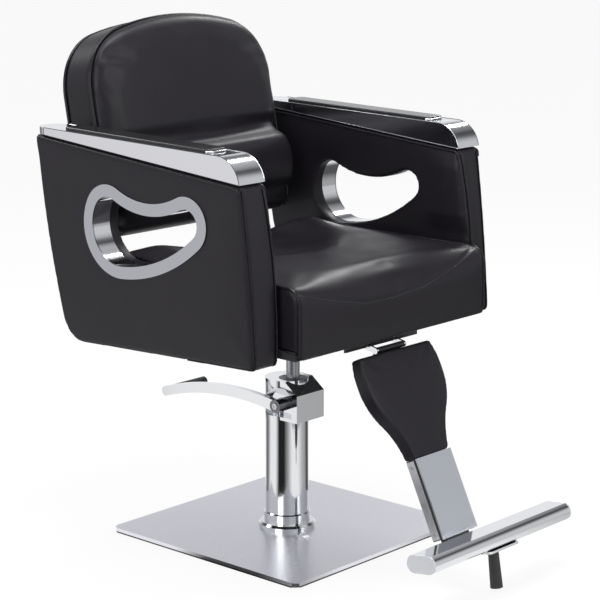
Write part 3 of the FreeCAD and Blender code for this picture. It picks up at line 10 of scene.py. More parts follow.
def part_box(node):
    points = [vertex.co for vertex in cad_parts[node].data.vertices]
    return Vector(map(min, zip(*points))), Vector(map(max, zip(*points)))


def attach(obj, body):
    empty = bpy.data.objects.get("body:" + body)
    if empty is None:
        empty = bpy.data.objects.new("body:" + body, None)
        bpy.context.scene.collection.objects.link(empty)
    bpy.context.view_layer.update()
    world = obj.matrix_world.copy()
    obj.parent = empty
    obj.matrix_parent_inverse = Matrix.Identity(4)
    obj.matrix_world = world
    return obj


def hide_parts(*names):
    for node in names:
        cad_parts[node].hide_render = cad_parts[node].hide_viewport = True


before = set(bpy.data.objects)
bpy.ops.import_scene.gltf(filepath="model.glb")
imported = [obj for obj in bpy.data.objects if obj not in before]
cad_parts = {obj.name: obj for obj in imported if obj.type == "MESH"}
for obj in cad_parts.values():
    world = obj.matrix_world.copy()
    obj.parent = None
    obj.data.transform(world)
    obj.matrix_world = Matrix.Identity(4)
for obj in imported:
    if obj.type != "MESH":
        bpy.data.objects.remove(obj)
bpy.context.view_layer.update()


# The base: a heavy square weight on a thin rubber mat, under a cover of brushed stainless sheet that is
# folded down over its edges. The weight and its bolts are out of sight.
def reckon(nodes, operation, second=0.5):
    """A node for one sum, with its second value."""
    made = nodes.new("ShaderNodeMath")
    made.operation = operation
    made.inputs[1].default_value = second
    return made


def tinted(nodes, colour):
    """A node that mixes a colour linked to it with a fixed one."""
    made = nodes.new("ShaderNodeMix")
    made.data_type = "RGBA"
    made.inputs[7].default_value = (*colour, 1.0)
    return made


def finish(name, colours, roughness, grain, relief, metal=0.0, stretch=(1.0, 1.0, 1.0)):
    """A finish whose colour, gloss and relief follow one grain, whose cells are so many metres long."""
    material = bpy.data.materials.new(name)
    material.use_nodes = True
    nodes, links = material.node_tree.nodes, material.node_tree.links
    shader = nodes["Principled BSDF"]
    shader.inputs["Metallic"].default_value = metal
    place = nodes.new("ShaderNodeTexCoord")
    mapping = nodes.new("ShaderNodeMapping")
    mapping.inputs["Scale"].default_value = stretch
    noise = nodes.new("ShaderNodeTexNoise")
    noise.inputs["Scale"].default_value = 1.0 / grain
    noise.inputs["Detail"].default_value = 4.0
    tone = tinted(nodes, colours[1])
    tone.inputs[6].default_value = (*colours[0], 1.0)
    gloss = nodes.new("ShaderNodeMapRange")
    gloss.inputs["From Min"].default_value = 0.3
    gloss.inputs["From Max"].default_value = 0.7
    gloss.inputs["To Min"].default_value = roughness[0]
    gloss.inputs["To Max"].default_value = roughness[1]
    bump = nodes.new("ShaderNodeBump")
    bump.inputs["Distance"].default_value = relief
    links.new(place.outputs["Object"], mapping.inputs["Vector"])
    links.new(mapping.outputs["Vector"], noise.inputs["Vector"])
    links.new(noise.outputs["Fac"], tone.inputs[0])
    links.new(noise.outputs["Fac"], gloss.inputs["Value"])
    links.new(noise.outputs["Fac"], bump.inputs["Height"])
    links.new(tone.outputs[2], shader.inputs["Base Color"])
    links.new(gloss.outputs["Result"], shader.inputs["Roughness"])
    links.new(bump.outputs["Normal"], shader.inputs["Normal"])
    return material


def own_place(material):
    """The socket that gives a finish the piece's own coordinates."""
    return next(node for node in material.node_tree.nodes if node.type == "TEX_COORD").outputs["Object"]


def recolour(material, mask, colour):
    """Gives a finish another colour where a mask is 1."""
    nodes, links = material.node_tree.nodes, material.node_tree.links
    shader = nodes["Principled BSDF"]
    tint = tinted(nodes, colour)
    links.new(mask, tint.inputs[0])
    links.new(shader.inputs["Base Color"].links[0].from_socket, tint.inputs[6])
    links.new(tint.outputs[2], shader.inputs["Base Color"])


def dress(material, *names):
    """Puts one finish on CAD pieces."""
    for name in names:
        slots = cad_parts[name].data.materials
        slots.clear()
        slots.append(material)


# Painted shade: the lowest 2.5 mm of the brushed cover is coloured near-black, standing in for the dark line of
# shadow and rubber mat along its foot.
foot_shade_height = 0.0025
brushed_steel = finish("brushed_steel", ((0.76, 0.76, 0.81), (0.79, 0.79, 0.84)), roughness=(0.27, 0.32),
                       grain=0.0014, relief=0.000002, metal=1.0, stretch=(0.02, 1.0, 1.0))
nodes, links = brushed_steel.node_tree.nodes, brushed_steel.node_tree.links
where = nodes.new("ShaderNodeSeparateXYZ")
painted_foot_shade = reckon(nodes, "LESS_THAN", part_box("base_cover")[0][2] + foot_shade_height)
links.new(own_place(brushed_steel), where.inputs[0])
links.new(where.outputs["Z"], painted_foot_shade.inputs[0])
recolour(brushed_steel, painted_foot_shade.outputs[0], (0.05, 0.05, 0.055))
cast_iron = finish("cast_iron", ((0.10, 0.10, 0.10), (0.16, 0.16, 0.16)), roughness=(0.6, 0.8),
                   grain=0.004, relief=0.0004, metal=0.6)
zinc_steel = finish("zinc_steel", ((0.52, 0.53, 0.55), (0.62, 0.63, 0.66)), roughness=(0.25, 0.4),
                    grain=0.006, relief=0.00002, metal=1.0)
black_rubber = finish("black_rubber", ((0.016, 0.016, 0.017), (0.03, 0.03, 0.032)), roughness=(0.5, 0.7),
                      grain=0.002, relief=0.0001)
dress(brushed_steel, "base_cover")
dress(cast_iron, "base_weight")
dress(zinc_steel, "base_bolts")
dress(black_rubber, "floor_pad")


# The pump: a polished chrome sleeve in a flared foot, with a collar ring at its bottom and a cast head on top.
# The head is chromed, and its dull gland ring is held by four small screws round the rod.
chrome = finish("chrome", ((0.74, 0.75, 0.77), (0.80, 0.81, 0.83)), roughness=(0.05, 0.1),
                grain=0.05, relief=0.0, metal=1.0)
oiled_bronze = finish("oiled_bronze", ((0.42, 0.27, 0.10), (0.56, 0.38, 0.16)), roughness=(0.3, 0.45),
                      grain=0.01, relief=0.00004, metal=1.0)
black_steel = finish("black_steel", ((0.014, 0.014, 0.015), (0.026, 0.026, 0.028)), roughness=(0.32, 0.48),
                     grain=0.0012, relief=0.00006)
dull_zinc = finish("dull_zinc", ((0.15, 0.15, 0.165), (0.21, 0.21, 0.23)), roughness=(0.3, 0.42),
                   grain=0.003, relief=0.00003, metal=1.0)
dress(chrome, "pump_foot", "collar_ring", "pump_sleeve", "pump_head")
dress(dull_zinc, "gland_ring")
dress(zinc_steel, "ram_cylinder", "plunger_barrel", "plunger")
dress(black_steel, "gland_screws")
dress(oiled_bronze, "rod_bush")


# The foot lever: a curved chrome arm on a shaft through the head, with a pedal bar in a rubber grip.
# The shaft's end shows as a dull hub with a round screw in it.
def add(name, data):
    """Puts a new object in the scene."""
    made = bpy.data.objects.new(name, data)
    bpy.context.collection.objects.link(made)
    return made


def own_mesh(piece):
    """Makes what a piece's modifiers give its own mesh, and takes the modifiers off."""
    shown = piece.evaluated_get(bpy.context.evaluated_depsgraph_get())
    mesh = bpy.data.meshes.new_from_object(shown)
    piece.modifiers.clear()
    piece.data = mesh


def set_inputs(modifier, **values):
    """Sets a node tree's named inputs."""
    for item in modifier.node_group.interface.items_tree:
        if item.item_type == "SOCKET" and item.in_out == "INPUT" and item.name in values:
            modifier[item.identifier] = values[item.name]


def screw_tree():
    """Low round screw heads with a socket, one on each point, turned to face one way."""
    tree = bpy.data.node_groups.new("screws", "GeometryNodeTree")
    face = tree.interface
    face.new_socket("Geometry", in_out="INPUT", socket_type="NodeSocketGeometry")
    for label in ("Radius", "Height", "Socket"):
        face.new_socket(label, in_out="INPUT", socket_type="NodeSocketFloat")
    face.new_socket("Turn", in_out="INPUT", socket_type="NodeSocketVector")
    face.new_socket("Finish", in_out="INPUT", socket_type="NodeSocketMaterial")
    face.new_socket("Geometry", in_out="OUTPUT", socket_type="NodeSocketGeometry")
    nodes, links = tree.nodes, tree.links
    given, made = nodes.new("NodeGroupInput"), nodes.new("NodeGroupOutput")
    head = nodes.new("GeometryNodeMeshCylinder")
    head.inputs["Vertices"].default_value = 24
    inset = nodes.new("GeometryNodeExtrudeMesh")
    inset.inputs["Offset Scale"].default_value = 0.0
    shrink = nodes.new("GeometryNodeScaleElements")
    shrink.inputs["Scale"].default_value = 0.52
    sink = nodes.new("GeometryNodeExtrudeMesh")
    deep = reckon(nodes, "MULTIPLY", -1.0)
    turn = nodes.new("FunctionNodeEulerToRotation")
    each = nodes.new("GeometryNodeInstanceOnPoints")
    real = nodes.new("GeometryNodeRealizeInstances")
    paint = nodes.new("GeometryNodeSetMaterial")
    links.new(given.outputs["Radius"], head.inputs["Radius"])
    links.new(given.outputs["Height"], head.inputs["Depth"])
    links.new(head.outputs["Mesh"], inset.inputs["Mesh"])
    links.new(head.outputs["Top"], inset.inputs["Selection"])
    links.new(inset.outputs["Mesh"], shrink.inputs["Geometry"])
    links.new(inset.outputs["Top"], shrink.inputs["Selection"])
    links.new(shrink.outputs["Geometry"], sink.inputs["Mesh"])
    links.new(inset.outputs["Top"], sink.inputs["Selection"])
    links.new(given.outputs["Socket"], deep.inputs[0])
    links.new(deep.outputs[0], sink.inputs["Offset Scale"])
    links.new(given.outputs["Geometry"], each.inputs["Points"])
    links.new(sink.outputs["Mesh"], each.inputs["Instance"])
    links.new(given.outputs["Turn"], turn.inputs[0])
    links.new(turn.outputs[0], each.inputs["Rotation"])
    links.new(each.outputs["Instances"], real.inputs["Geometry"])
    links.new(real.outputs["Geometry"], paint.inputs["Geometry"])
    links.new(given.outputs["Finish"], paint.inputs["Material"])
    links.new(paint.outputs["Geometry"], made.inputs["Geometry"])
    return tree


screws = screw_tree()


def fix(name, spots, radius, height, socket, turn, material, body, upright=Matrix()):
    """Round screw heads at some points, made in a piece's own upright frame and riding on its body."""
    mesh = bpy.data.meshes.new(name)
    mesh.from_pydata(spots, [], [])
    heads = add(name, mesh)
    fixing = heads.modifiers.new("fixing", "NODES")
    fixing.node_group = screws
    set_inputs(fixing, Radius=radius, Height=height, Socket=socket, Turn=turn, Finish=material)
    own_mesh(heads)
    heads.data.transform(upright.inverted())
    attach(heads, body)


lever_pivot = Vector((0.0, -0.033, 0.257))
lever_face = -0.0694
hub_radius = 0.0123
lever_chrome = finish("lever_chrome", ((0.76, 0.77, 0.79), (0.82, 0.83, 0.85)), roughness=(0.12, 0.2),
                      grain=0.03, relief=0.0, metal=1.0)
nodes, links = lever_chrome.node_tree.nodes, lever_chrome.node_tree.links
flat = nodes.new("ShaderNodeVectorMath")
flat.operation = "MULTIPLY"
flat.inputs[1].default_value = (0.0, 1.0, 1.0)
apart = nodes.new("ShaderNodeVectorMath")
apart.operation = "DISTANCE"
apart.inputs[1].default_value = lever_pivot
hub = reckon(nodes, "LESS_THAN", hub_radius)
links.new(own_place(lever_chrome), flat.inputs[0])
links.new(flat.outputs[0], apart.inputs[0])
links.new(apart.outputs["Value"], hub.inputs[0])
recolour(lever_chrome, hub.outputs[0], (0.17, 0.17, 0.185))
dress(lever_chrome, "pump_lever")
dress(chrome, "pedal_bar")
dress(dull_zinc, "lever_shaft")
fix("lever_screw", [(lever_face, lever_pivot.y, lever_pivot.z)], radius=0.0058, height=0.0012, socket=0.0008,
    turn=(0.0, -math.pi / 2, 0.0), material=zinc_steel, body="lever")
dress(black_rubber, "pedal_grip")


# The ram: a ground steel rod on a piston in the pump's oil, with a thrust bearing on which the seat turns.
# The seat's mount is a black socket welded under a black plate, bolted to the seat board.
ground_steel = finish("ground_steel", ((0.38, 0.39, 0.42), (0.48, 0.49, 0.53)), roughness=(0.34, 0.42),
                      grain=0.002, relief=0.00001, metal=1.0, stretch=(1.0, 1.0, 0.05))
dress(ground_steel, "piston", "piston_rod", "thrust_bearing")
dress(black_rubber, "piston_seal")
dress(black_steel, "seat_mount")
dress(zinc_steel, "mount_bolts")


# The seat: foam on a plywood board under black imitation leather. The middle panel wraps from the back over the
# front edge, corded seams join it to the side panels, and a curved seam runs across the apron.
def imitation_leather(name, roughness=(0.37, 0.46)):
    """Black vinyl with a fine pebble grain, a little uneven in gloss."""
    material = finish(name, ((0.0090, 0.0074, 0.0106), (0.0124, 0.0104, 0.0146)), roughness,
                      grain=0.055, relief=0.0)
    nodes, links = material.node_tree.nodes, material.node_tree.links
    nodes["Principled BSDF"].inputs["Specular IOR Level"].default_value = 0.25
    pebble = nodes.new("ShaderNodeTexVoronoi")
    pebble.feature = "SMOOTH_F1"
    pebble.inputs["Scale"].default_value = 520.0
    pebble.inputs["Smoothness"].default_value = 0.6
    crease = nodes.new("ShaderNodeTexNoise")
    crease.inputs["Scale"].default_value = 140.0
    crease.inputs["Detail"].default_value = 6.0
    height = reckon(nodes, "MULTIPLY_ADD", 0.7)
    bump = next(node for node in nodes if node.type == "BUMP")
    bump.inputs["Distance"].default_value = 0.00022
    bump.inputs["Strength"].default_value = 0.5
    links.new(own_place(material), pebble.inputs["Vector"])
    links.new(own_place(material), crease.inputs["Vector"])
    links.new(pebble.outputs["Distance"], height.inputs[0])
    links.new(crease.outputs["Fac"], height.inputs[2])
    links.new(height.outputs[0], bump.inputs["Height"])
    return material


def foam(name, nodes, voxel, upright=Matrix()):
    """One closed skin of even small quads round a cushion's CAD solids, in the cushion's own upright frame."""
    solids = bmesh.new()
    for node in nodes:
        solids.from_mesh(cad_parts[node].data)
    bmesh.ops.remove_doubles(solids, verts=solids.verts, dist=1e-5)
    solids.transform(upright)
    mesh = bpy.data.meshes.new(name)
    solids.to_mesh(mesh)
    solids.free()
    core = add(name + "_core", mesh)
    piece = add(name, mesh.copy())
    skin = piece.modifiers.new("skin", "REMESH")
    skin.mode = "VOXEL"
    skin.voxel_size = voxel
    for rounds in (5, 1):
        even = piece.modifiers.new("even", "SMOOTH")
        even.factor = 0.5
        even.iterations = rounds
        if rounds > 1:
            close = piece.modifiers.new("close", "SHRINKWRAP")
            close.target = core
    own_mesh(piece)
    bpy.data.objects.remove(core)
    return piece


def places(piece):
    """Where a mesh's points are, as rows."""
    spots = np.empty(len(piece.data.vertices) * 3, dtype=np.float32)
    piece.data.vertices.foreach_get("co", spots)
    return spots.reshape(-1, 3).astype(float)


def normals(piece):
    """Which way a mesh faces at its points, as rows."""
    found = np.empty(len(piece.data.vertices) * 3, dtype=np.float32)
    piece.data.vertices.foreach_get("normal", found)
    return found.reshape(-1, 3).astype(float)


def move(piece, spots):
    """Puts a mesh's points at new places."""
    piece.data.vertices.foreach_set("co", spots.astype(np.float32).ravel())
    piece.data.update()


def ramp(values, start, end):
    """0 at one value, 1 at another, and even between them."""
    return np.clip((values - start) / (end - start), 0.0, 1.0)


def eased(share):
    """A ramp that starts and stops gently."""
    return share * share * (3.0 - 2.0 * share)


def stuff(piece, stapled, pressure, most, rounds=7):
    """Fills a cover from inside: it swells, except where it is stapled, and no point moves further than most."""
    before = places(piece)
    group = piece.vertex_groups.new(name="stapled")
    group.add([int(index) for index in np.flatnonzero(stapled)], 1.0, "REPLACE")
    loose = piece.vertex_groups.new(name="loose")
    loose.add([int(index) for index in np.flatnonzero(~stapled)], 1.0, "REPLACE")
    cloth = piece.modifiers.new("stuffing", "CLOTH")
    cover = cloth.settings
    cover.quality = 4
    cover.mass = 0.4
    cover.tension_stiffness = 25.0
    cover.compression_stiffness = 25.0
    cover.shear_stiffness = 15.0
    cover.bending_stiffness = 5.0
    cover.vertex_group_mass = group.name
    cover.use_pressure = True
    cover.uniform_pressure_force = pressure
    cover.effector_weights.gravity = 0.0
    cloth.collision_settings.use_collision = False
    for step in range(1, 21):
        bpy.context.scene.frame_set(step)
    own_mesh(piece)
    bpy.context.scene.frame_set(1)
    moved = places(piece) - before
    length = np.linalg.norm(moved, axis=1, keepdims=True)
    move(piece, before + moved * np.minimum(1.0, most / np.maximum(length, 1e-9)))
    taut = piece.modifiers.new("taut", "SMOOTH")
    taut.factor = 0.5
    taut.iterations = rounds
    taut.vertex_group = loose.name
    own_mesh(piece)
    piece.vertex_groups.clear()


def refine(piece):
    """Rounds a cover's mesh and makes it four times as fine."""
    fine = piece.modifiers.new("fine", "SUBSURF")
    fine.levels = fine.render_levels = 1
    own_mesh(piece)


def hits(piece, starts, aims):
    """Where lines from some points towards others first meet a piece."""
    tree = BVHTree.FromObject(piece, bpy.context.evaluated_depsgraph_get())
    found = []
    for start, aim in zip(starts, aims):
        spot = tree.ray_cast(Vector(start), (Vector(aim) - Vector(start)).normalized())[0]
        if spot is not None:
            found.append(spot)
    return found


def evened(path, pitch=0.004, closed=False):
    """The same path with points at an even pitch."""
    spots = np.array([tuple(spot) for spot in path] + ([tuple(path[0])] if closed else []))
    along = np.concatenate([[0.0], np.cumsum(np.linalg.norm(np.diff(spots, axis=0), axis=1))])
    count = max(2, int(round(along[-1] / pitch)))
    wanted = np.linspace(0.0, along[-1], count + 1)
    if closed:
        wanted = wanted[:-1]
    return [Vector([np.interp(at, along, spots[:, axis]) for axis in range(3)]) for at in wanted]


def directions(start, end, count):
    """Cosines and sines round part of a turn, from one angle to another."""
    turns = np.linspace(math.radians(start), math.radians(end), count)
    return [(math.cos(turn), math.sin(turn)) for turn in turns]


def seam_round(piece, outside, middle):
    """The path round a cover that points outside it see when they look at its middle."""
    return evened(hits(piece, outside, [middle] * len(outside)))


def sew(piece, path, width, depth):
    """Draws a cover in along a seam."""
    tree = KDTree(len(path))
    for index, spot in enumerate(path):
        tree.insert(spot, index)
    tree.balance()
    spots = places(piece)
    near = np.array([tree.find(spot)[2] for spot in spots])
    pull = depth * np.clip(1.0 - (near / width) ** 2, 0.0, None) ** 2
    move(piece, spots - normals(piece) * pull[:, None])


def coat(mesh, material):
    """Smooth shading and one finish for a mesh."""
    for face in mesh.polygons:
        face.use_smooth = True
    mesh.materials.clear()
    mesh.materials.append(material)


def cording(name, path, radius, material, closed=False):
    """A round cord sewn into a seam."""
    curve = bpy.data.curves.new(name, "CURVE")
    curve.dimensions = "3D"
    curve.bevel_depth = radius
    curve.bevel_resolution = 3
    curve.use_fill_caps = True
    line = curve.splines.new("POLY")
    line.points.add(len(path) - 1)
    for point, spot in zip(line.points, path):
        point.co = (*spot, 1.0)
    line.use_cyclic_u = closed
    drawn = add(name + "_line", curve)
    mesh = bpy.data.meshes.new_from_object(drawn.evaluated_get(bpy.context.evaluated_depsgraph_get()))
    bpy.data.objects.remove(drawn)
    piece = add(name, mesh)
    coat(mesh, material)
    return piece


def stitch_tree():
    """Short stitches of thread laid end to end along a seam."""
    tree = bpy.data.node_groups.new("stitches", "GeometryNodeTree")
    face = tree.interface
    face.new_socket("Geometry", in_out="INPUT", socket_type="NodeSocketGeometry")
    for label in ("Pitch", "Length", "Thread"):
        face.new_socket(label, in_out="INPUT", socket_type="NodeSocketFloat")
    face.new_socket("Finish", in_out="INPUT", socket_type="NodeSocketMaterial")
    face.new_socket("Geometry", in_out="OUTPUT", socket_type="NodeSocketGeometry")
    nodes, links = tree.nodes, tree.links
    given, made = nodes.new("NodeGroupInput"), nodes.new("NodeGroupOutput")
    line = nodes.new("GeometryNodeMeshToCurve")
    spots = nodes.new("GeometryNodeCurveToPoints")
    spots.mode = "LENGTH"
    bead = nodes.new("GeometryNodeMeshUVSphere")
    bead.inputs["Segments"].default_value = 6
    bead.inputs["Rings"].default_value = 5
    half = reckon(nodes, "MULTIPLY", 0.5)
    shape = nodes.new("ShaderNodeCombineXYZ")
    stretch = nodes.new("GeometryNodeTransform")
    each = nodes.new("GeometryNodeInstanceOnPoints")
    real = nodes.new("GeometryNodeRealizeInstances")
    paint = nodes.new("GeometryNodeSetMaterial")
    links.new(given.outputs["Geometry"], line.inputs["Mesh"])
    links.new(line.outputs["Curve"], spots.inputs["Curve"])
    links.new(given.outputs["Pitch"], spots.inputs["Length"])
    links.new(given.outputs["Length"], half.inputs[0])
    links.new(given.outputs["Thread"], shape.inputs["X"])
    links.new(given.outputs["Thread"], shape.inputs["Y"])
    links.new(half.outputs[0], shape.inputs["Z"])
    links.new(bead.outputs["Mesh"], stretch.inputs["Geometry"])
    links.new(shape.outputs[0], stretch.inputs["Scale"])
    links.new(spots.outputs["Points"], each.inputs["Points"])
    links.new(spots.outputs["Rotation"], each.inputs["Rotation"])
    links.new(stretch.outputs["Geometry"], each.inputs["Instance"])
    links.new(each.outputs["Instances"], real.inputs["Geometry"])
    links.new(real.outputs["Geometry"], paint.inputs["Geometry"])
    links.new(given.outputs["Finish"], paint.inputs["Material"])
    links.new(paint.outputs["Geometry"], made.inputs["Geometry"])
    return tree


def stitch(name, path, pitch, length, thread):
    """A row of stitches along a path."""
    mesh = bpy.data.meshes.new(name)
    mesh.from_pydata([tuple(spot) for spot in path], [(at, at + 1) for at in range(len(path) - 1)], [])
    piece = add(name, mesh)
    sewing = piece.modifiers.new("sewing", "NODES")
    sewing.node_group = stitches
    set_inputs(sewing, Pitch=pitch, Length=length, Thread=thread, Finish=black_thread)
    own_mesh(piece)
    return piece


def stand(piece, upright, body, material):
    """Puts a piece made upright back at its lean, in its finish, on its body."""
    piece.data.transform(upright.inverted())
    coat(piece.data, material)
    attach(piece, body)


stitches = stitch_tree()
black_thread = finish("black_thread", ((0.03, 0.03, 0.032), (0.06, 0.06, 0.064)), roughness=(0.5, 0.7),
                      grain=0.0008, relief=0.00005)
seat_leather = imitation_leather("seat_leather")
cord_leather = imitation_leather("cord_leather", roughness=(0.22, 0.3))
dust_cloth = finish("dust_cloth", ((0.012, 0.012, 0.013), (0.024, 0.024, 0.026)), roughness=(0.75, 0.9),
                    grain=0.0009, relief=0.0001)
dress(dust_cloth, "seat_board")
level = Matrix()
staple_rows, side_edge, top_skin = 0.012, 0.004, 0.03
bowl_y, bowl_rim, bowl_floor, bowl_depth = 0.09, 0.19, 0.115, 0.009
rear_rise = 0.008
(seat_left, seat_front, seat_low), (seat_right, seat_back, seat_top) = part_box("seat_cushion")
seat_cover = foam("seat_cover", ["seat_cushion"], voxel=0.006)
x, y, z = places(seat_cover).T
stuff(seat_cover, (z < seat_low + staple_rows) | (np.abs(x) > seat_right - side_edge), pressure=3.0, most=0.006,
      rounds=14)
spots = places(seat_cover)
x, y, z = spots.T
on_top = z > seat_top - top_skin
bowl = ramp(np.hypot(x, y - bowl_y), bowl_rim, bowl_floor) * ramp(y, 0.19, 0.13) * on_top
rear = ramp(y, 0.06, 0.18) * on_top
spots[:, 2] += rear_rise * eased(rear) - bowl_depth * eased(bowl)
move(seat_cover, spots)
refine(seat_cover)
middle_y, middle_z = 0.5 * (seat_front + seat_back), 0.5 * (seat_low + seat_top)
for side, edge in (("left", seat_right - 0.002), ("right", seat_left + 0.002)):
    outside = [(edge, middle_y + along, middle_z + up) for along, up in directions(15, 233, 120)]
    seam = seam_round(seat_cover, outside, (edge, middle_y, middle_z))
    sew(seat_cover, seam, width=0.009, depth=0.002)
    cord = cording(f"seat_cord_{side}", seam, 0.0024, cord_leather)
    stand(cord, level, "seat", cord_leather)
smile = [(-0.249, 0.5255), (-0.214, 0.515), (-0.157, 0.5015), (-0.093, 0.4885), (-0.018, 0.4873),
         (0.069, 0.493), (0.157, 0.512), (0.221, 0.530), (0.247, 0.535)]
smile = evened([Vector((across, seat_front - 0.1, up)) for across, up in smile])
apron_seam = hits(seat_cover, smile, [spot + Vector((0, 1, 0)) for spot in smile])
sew(seat_cover, apron_seam, width=0.006, depth=0.0014)
apron_row = [spot + Vector((0.0, -0.0004, -0.0024)) for spot in apron_seam]
apron_stitches = stitch("apron_stitches", apron_row, pitch=0.0045, length=0.0036, thread=0.00045)
stand(apron_stitches, level, "seat", black_thread)
stand(seat_cover, level, "seat", seat_leather)
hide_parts("seat_cushion")


# The arms: boards padded with thin foam in black imitation leather, sewn along both edges of their rim. Each has
# a kidney-shaped window lined by a bright ring, and a polished cap with a hard black rest on top.
arm_leather = imitation_leather("arm_leather")
panel_faces = (("inner", 0.259), ("outer", 0.320))
front_swell, front_lean, rear_swell, inner_swell = 0.002, 0.010, 0.009, 0.006
seam_inset, welt_inset = 0.0065, 0.0002
welt_line = ((-0.1868, 0.686), (-0.1862, 0.694), (-0.1835, 0.6986), (-0.1790, 0.7000), (0.3060, 0.7412))
for side, outwards in (("left", 1), ("right", -1)):
    panel = f"arm_panel_{side}"
    low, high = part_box(panel)
    cover = foam(f"arm_cover_{side}", [panel], voxel=0.005)
    stuff(cover, np.abs(normals(cover)[:, 0]) < 0.7, pressure=1.5, most=0.003)
    spots = places(cover)
    x, y, z = spots.T
    facing_x, facing_y, _ = normals(cover).T
    tall = np.sin(np.pi * ramp(z, 0.41, 0.70)) ** 0.8
    inner = eased(ramp(np.abs(x), 0.324, 0.274))
    ahead = tall * np.clip(-facing_y, 0.0, 1.0) * (y < -0.15)
    behind = tall * np.clip(facing_y, 0.0, 1.0) * (y > 0.22)
    beside = np.clip(-outwards * facing_x, 0.0, 1.0) * ramp(y, -0.10, -0.16)
    beside *= ramp(z, 0.552, 0.582) * ramp(z, 0.70, 0.67)
    spots[:, 1] += rear_swell * behind - (front_swell + front_lean * inner) * ahead
    spots[:, 0] -= outwards * inner_swell * beside
    move(cover, spots)
    refine(cover)
    middle_y, middle_z = 0.5 * (low[1] + high[1]), 0.5 * (low[2] + high[2]) - 0.06
    for edge, face in panel_faces:
        inwards = outwards if edge == "inner" else -outwards
        plane = outwards * face + inwards * seam_inset
        outside = [(plane, middle_y + along, middle_z + up) for along, up in directions(141, 226, 120)]
        seam = seam_round(cover, outside, (plane, middle_y, middle_z))
        sew(cover, seam, width=0.006, depth=0.0018)
        cord = cording(f"arm_cord_{edge}_{side}", seam, 0.0017, cord_leather)
        stand(cord, level, "seat", cord_leather)
        welt_x = outwards * face + inwards * welt_inset
        welt = evened([(welt_x, along, up) for along, up in welt_line])
        welt = cording(f"arm_welt_{edge}_{side}", welt, 0.0024, cord_leather)
        stand(welt, level, "seat", cord_leather)
    stand(cover, level, "seat", arm_leather)
    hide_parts(panel)


def satin_cheeks(material, beyond, colour, roughness):
    """Leaves a finish polished, but satin on the faces further than a distance from the chair's middle plane."""
    nodes, links = material.node_tree.nodes, material.node_tree.links
    shader = nodes["Principled BSDF"]
    where = nodes.new("ShaderNodeSeparateXYZ")
    reach = reckon(nodes, "ABSOLUTE")
    cheek = reckon(nodes, "GREATER_THAN", beyond)
    satin = nodes.new("ShaderNodeMix")
    satin.inputs[3].default_value = roughness
    links.new(own_place(material), where.inputs[0])
    links.new(where.outputs["X"], reach.inputs[0])
    links.new(reach.outputs[0], cheek.inputs[0])
    links.new(cheek.outputs[0], satin.inputs[0])
    links.new(shader.inputs["Roughness"].links[0].from_socket, satin.inputs[2])
    links.new(satin.outputs[0], shader.inputs["Roughness"])
    recolour(material, cheek.outputs[0], colour)


def outer_rim(node, outwards):
    """The edge round a CAD piece's outer face, as points in order."""
    solid = bmesh.new()
    solid.from_mesh(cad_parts[node].data)
    bmesh.ops.remove_doubles(solid, verts=solid.verts, dist=1e-5)
    solid.normal_update()
    face_x = max(vert.co.x * outwards for vert in solid.verts)
    flat = {face for face in solid.faces if all(vert.co.x * outwards > face_x - 1e-4 for vert in face.verts)}
    rim = [edge for edge in solid.edges if sum(face in flat for face in edge.link_faces) == 1]
    beside = {}
    for edge in rim:
        for here, there in (edge.verts, reversed(edge.verts)):
            beside.setdefault(here, []).append(there)
    path = [rim[0].verts[0], rim[0].verts[1]]
    while path[-1] is not path[0]:
        path.append(next(vert for vert in beside[path[-1]] if vert is not path[-2]))
    spots = [vert.co.copy() for vert in path[:-1]]
    solid.free()
    return spots


cheek_face = 0.3197
polished_cap = finish("polished_cap", ((0.70, 0.71, 0.74), (0.76, 0.77, 0.80)), roughness=(0.1, 0.15),
                      grain=0.05, relief=0.0, metal=1.0)
satin_cheeks(polished_cap, cheek_face, (0.68, 0.68, 0.71), 0.3)
ring_steel = finish("ring_steel", ((0.72, 0.73, 0.75), (0.78, 0.79, 0.81)), roughness=(0.08, 0.13),
                    grain=0.05, relief=0.0, metal=1.0)
satin_cheeks(ring_steel, cheek_face, (0.40, 0.41, 0.44), 0.2)
rest_black = finish("rest_black", ((0.009, 0.009, 0.010), (0.016, 0.016, 0.018)), roughness=(0.16, 0.24),
                    grain=0.0016, relief=0.00003)
cap_shadow = finish("cap_shadow", ((0.01, 0.01, 0.011), (0.02, 0.02, 0.022)), roughness=(0.4, 0.6),
                    grain=0.004, relief=0.0)
rim_pitch, trim_height = 0.003, 0.7523
rest_front = ((0.3118, -0.1045), (0.3075, -0.1105), (0.3015, -0.1122), (0.2775, -0.1122), (0.2715, -0.1105),
              (0.2672, -0.1045))
for side, outwards in (("left", 1), ("right", -1)):
    # Painted shade: a near-black cord round each cap's outer cheek stands in for the thin shadow gap between the
    # cheek and the polished band.
    rim = evened(outer_rim(f"arm_cap_{side}", outwards), rim_pitch, closed=True)
    line = cording(f"cap_joint_{side}", rim, 0.0006, cap_shadow, closed=True)
    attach(line, "seat")
    rim = evened(outer_rim(f"arm_cap_{side}", -outwards), rim_pitch, closed=True)
    bead = cording(f"cap_bead_{side}", rim, 0.0008, chrome, closed=True)
    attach(bead, "seat")
    front = [(outwards * across, along, trim_height) for across, along in rest_front]
    trim = cording(f"rest_trim_{side}", front, 0.0015, chrome)
    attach(trim, "seat")
dress(ring_steel, "arm_ring_left", "arm_ring_right")
dress(polished_cap, "arm_cap_left", "arm_cap_right")
dress(rest_black, "arm_pad_left", "arm_pad_right")
dress(zinc_steel, "arm_bolts")


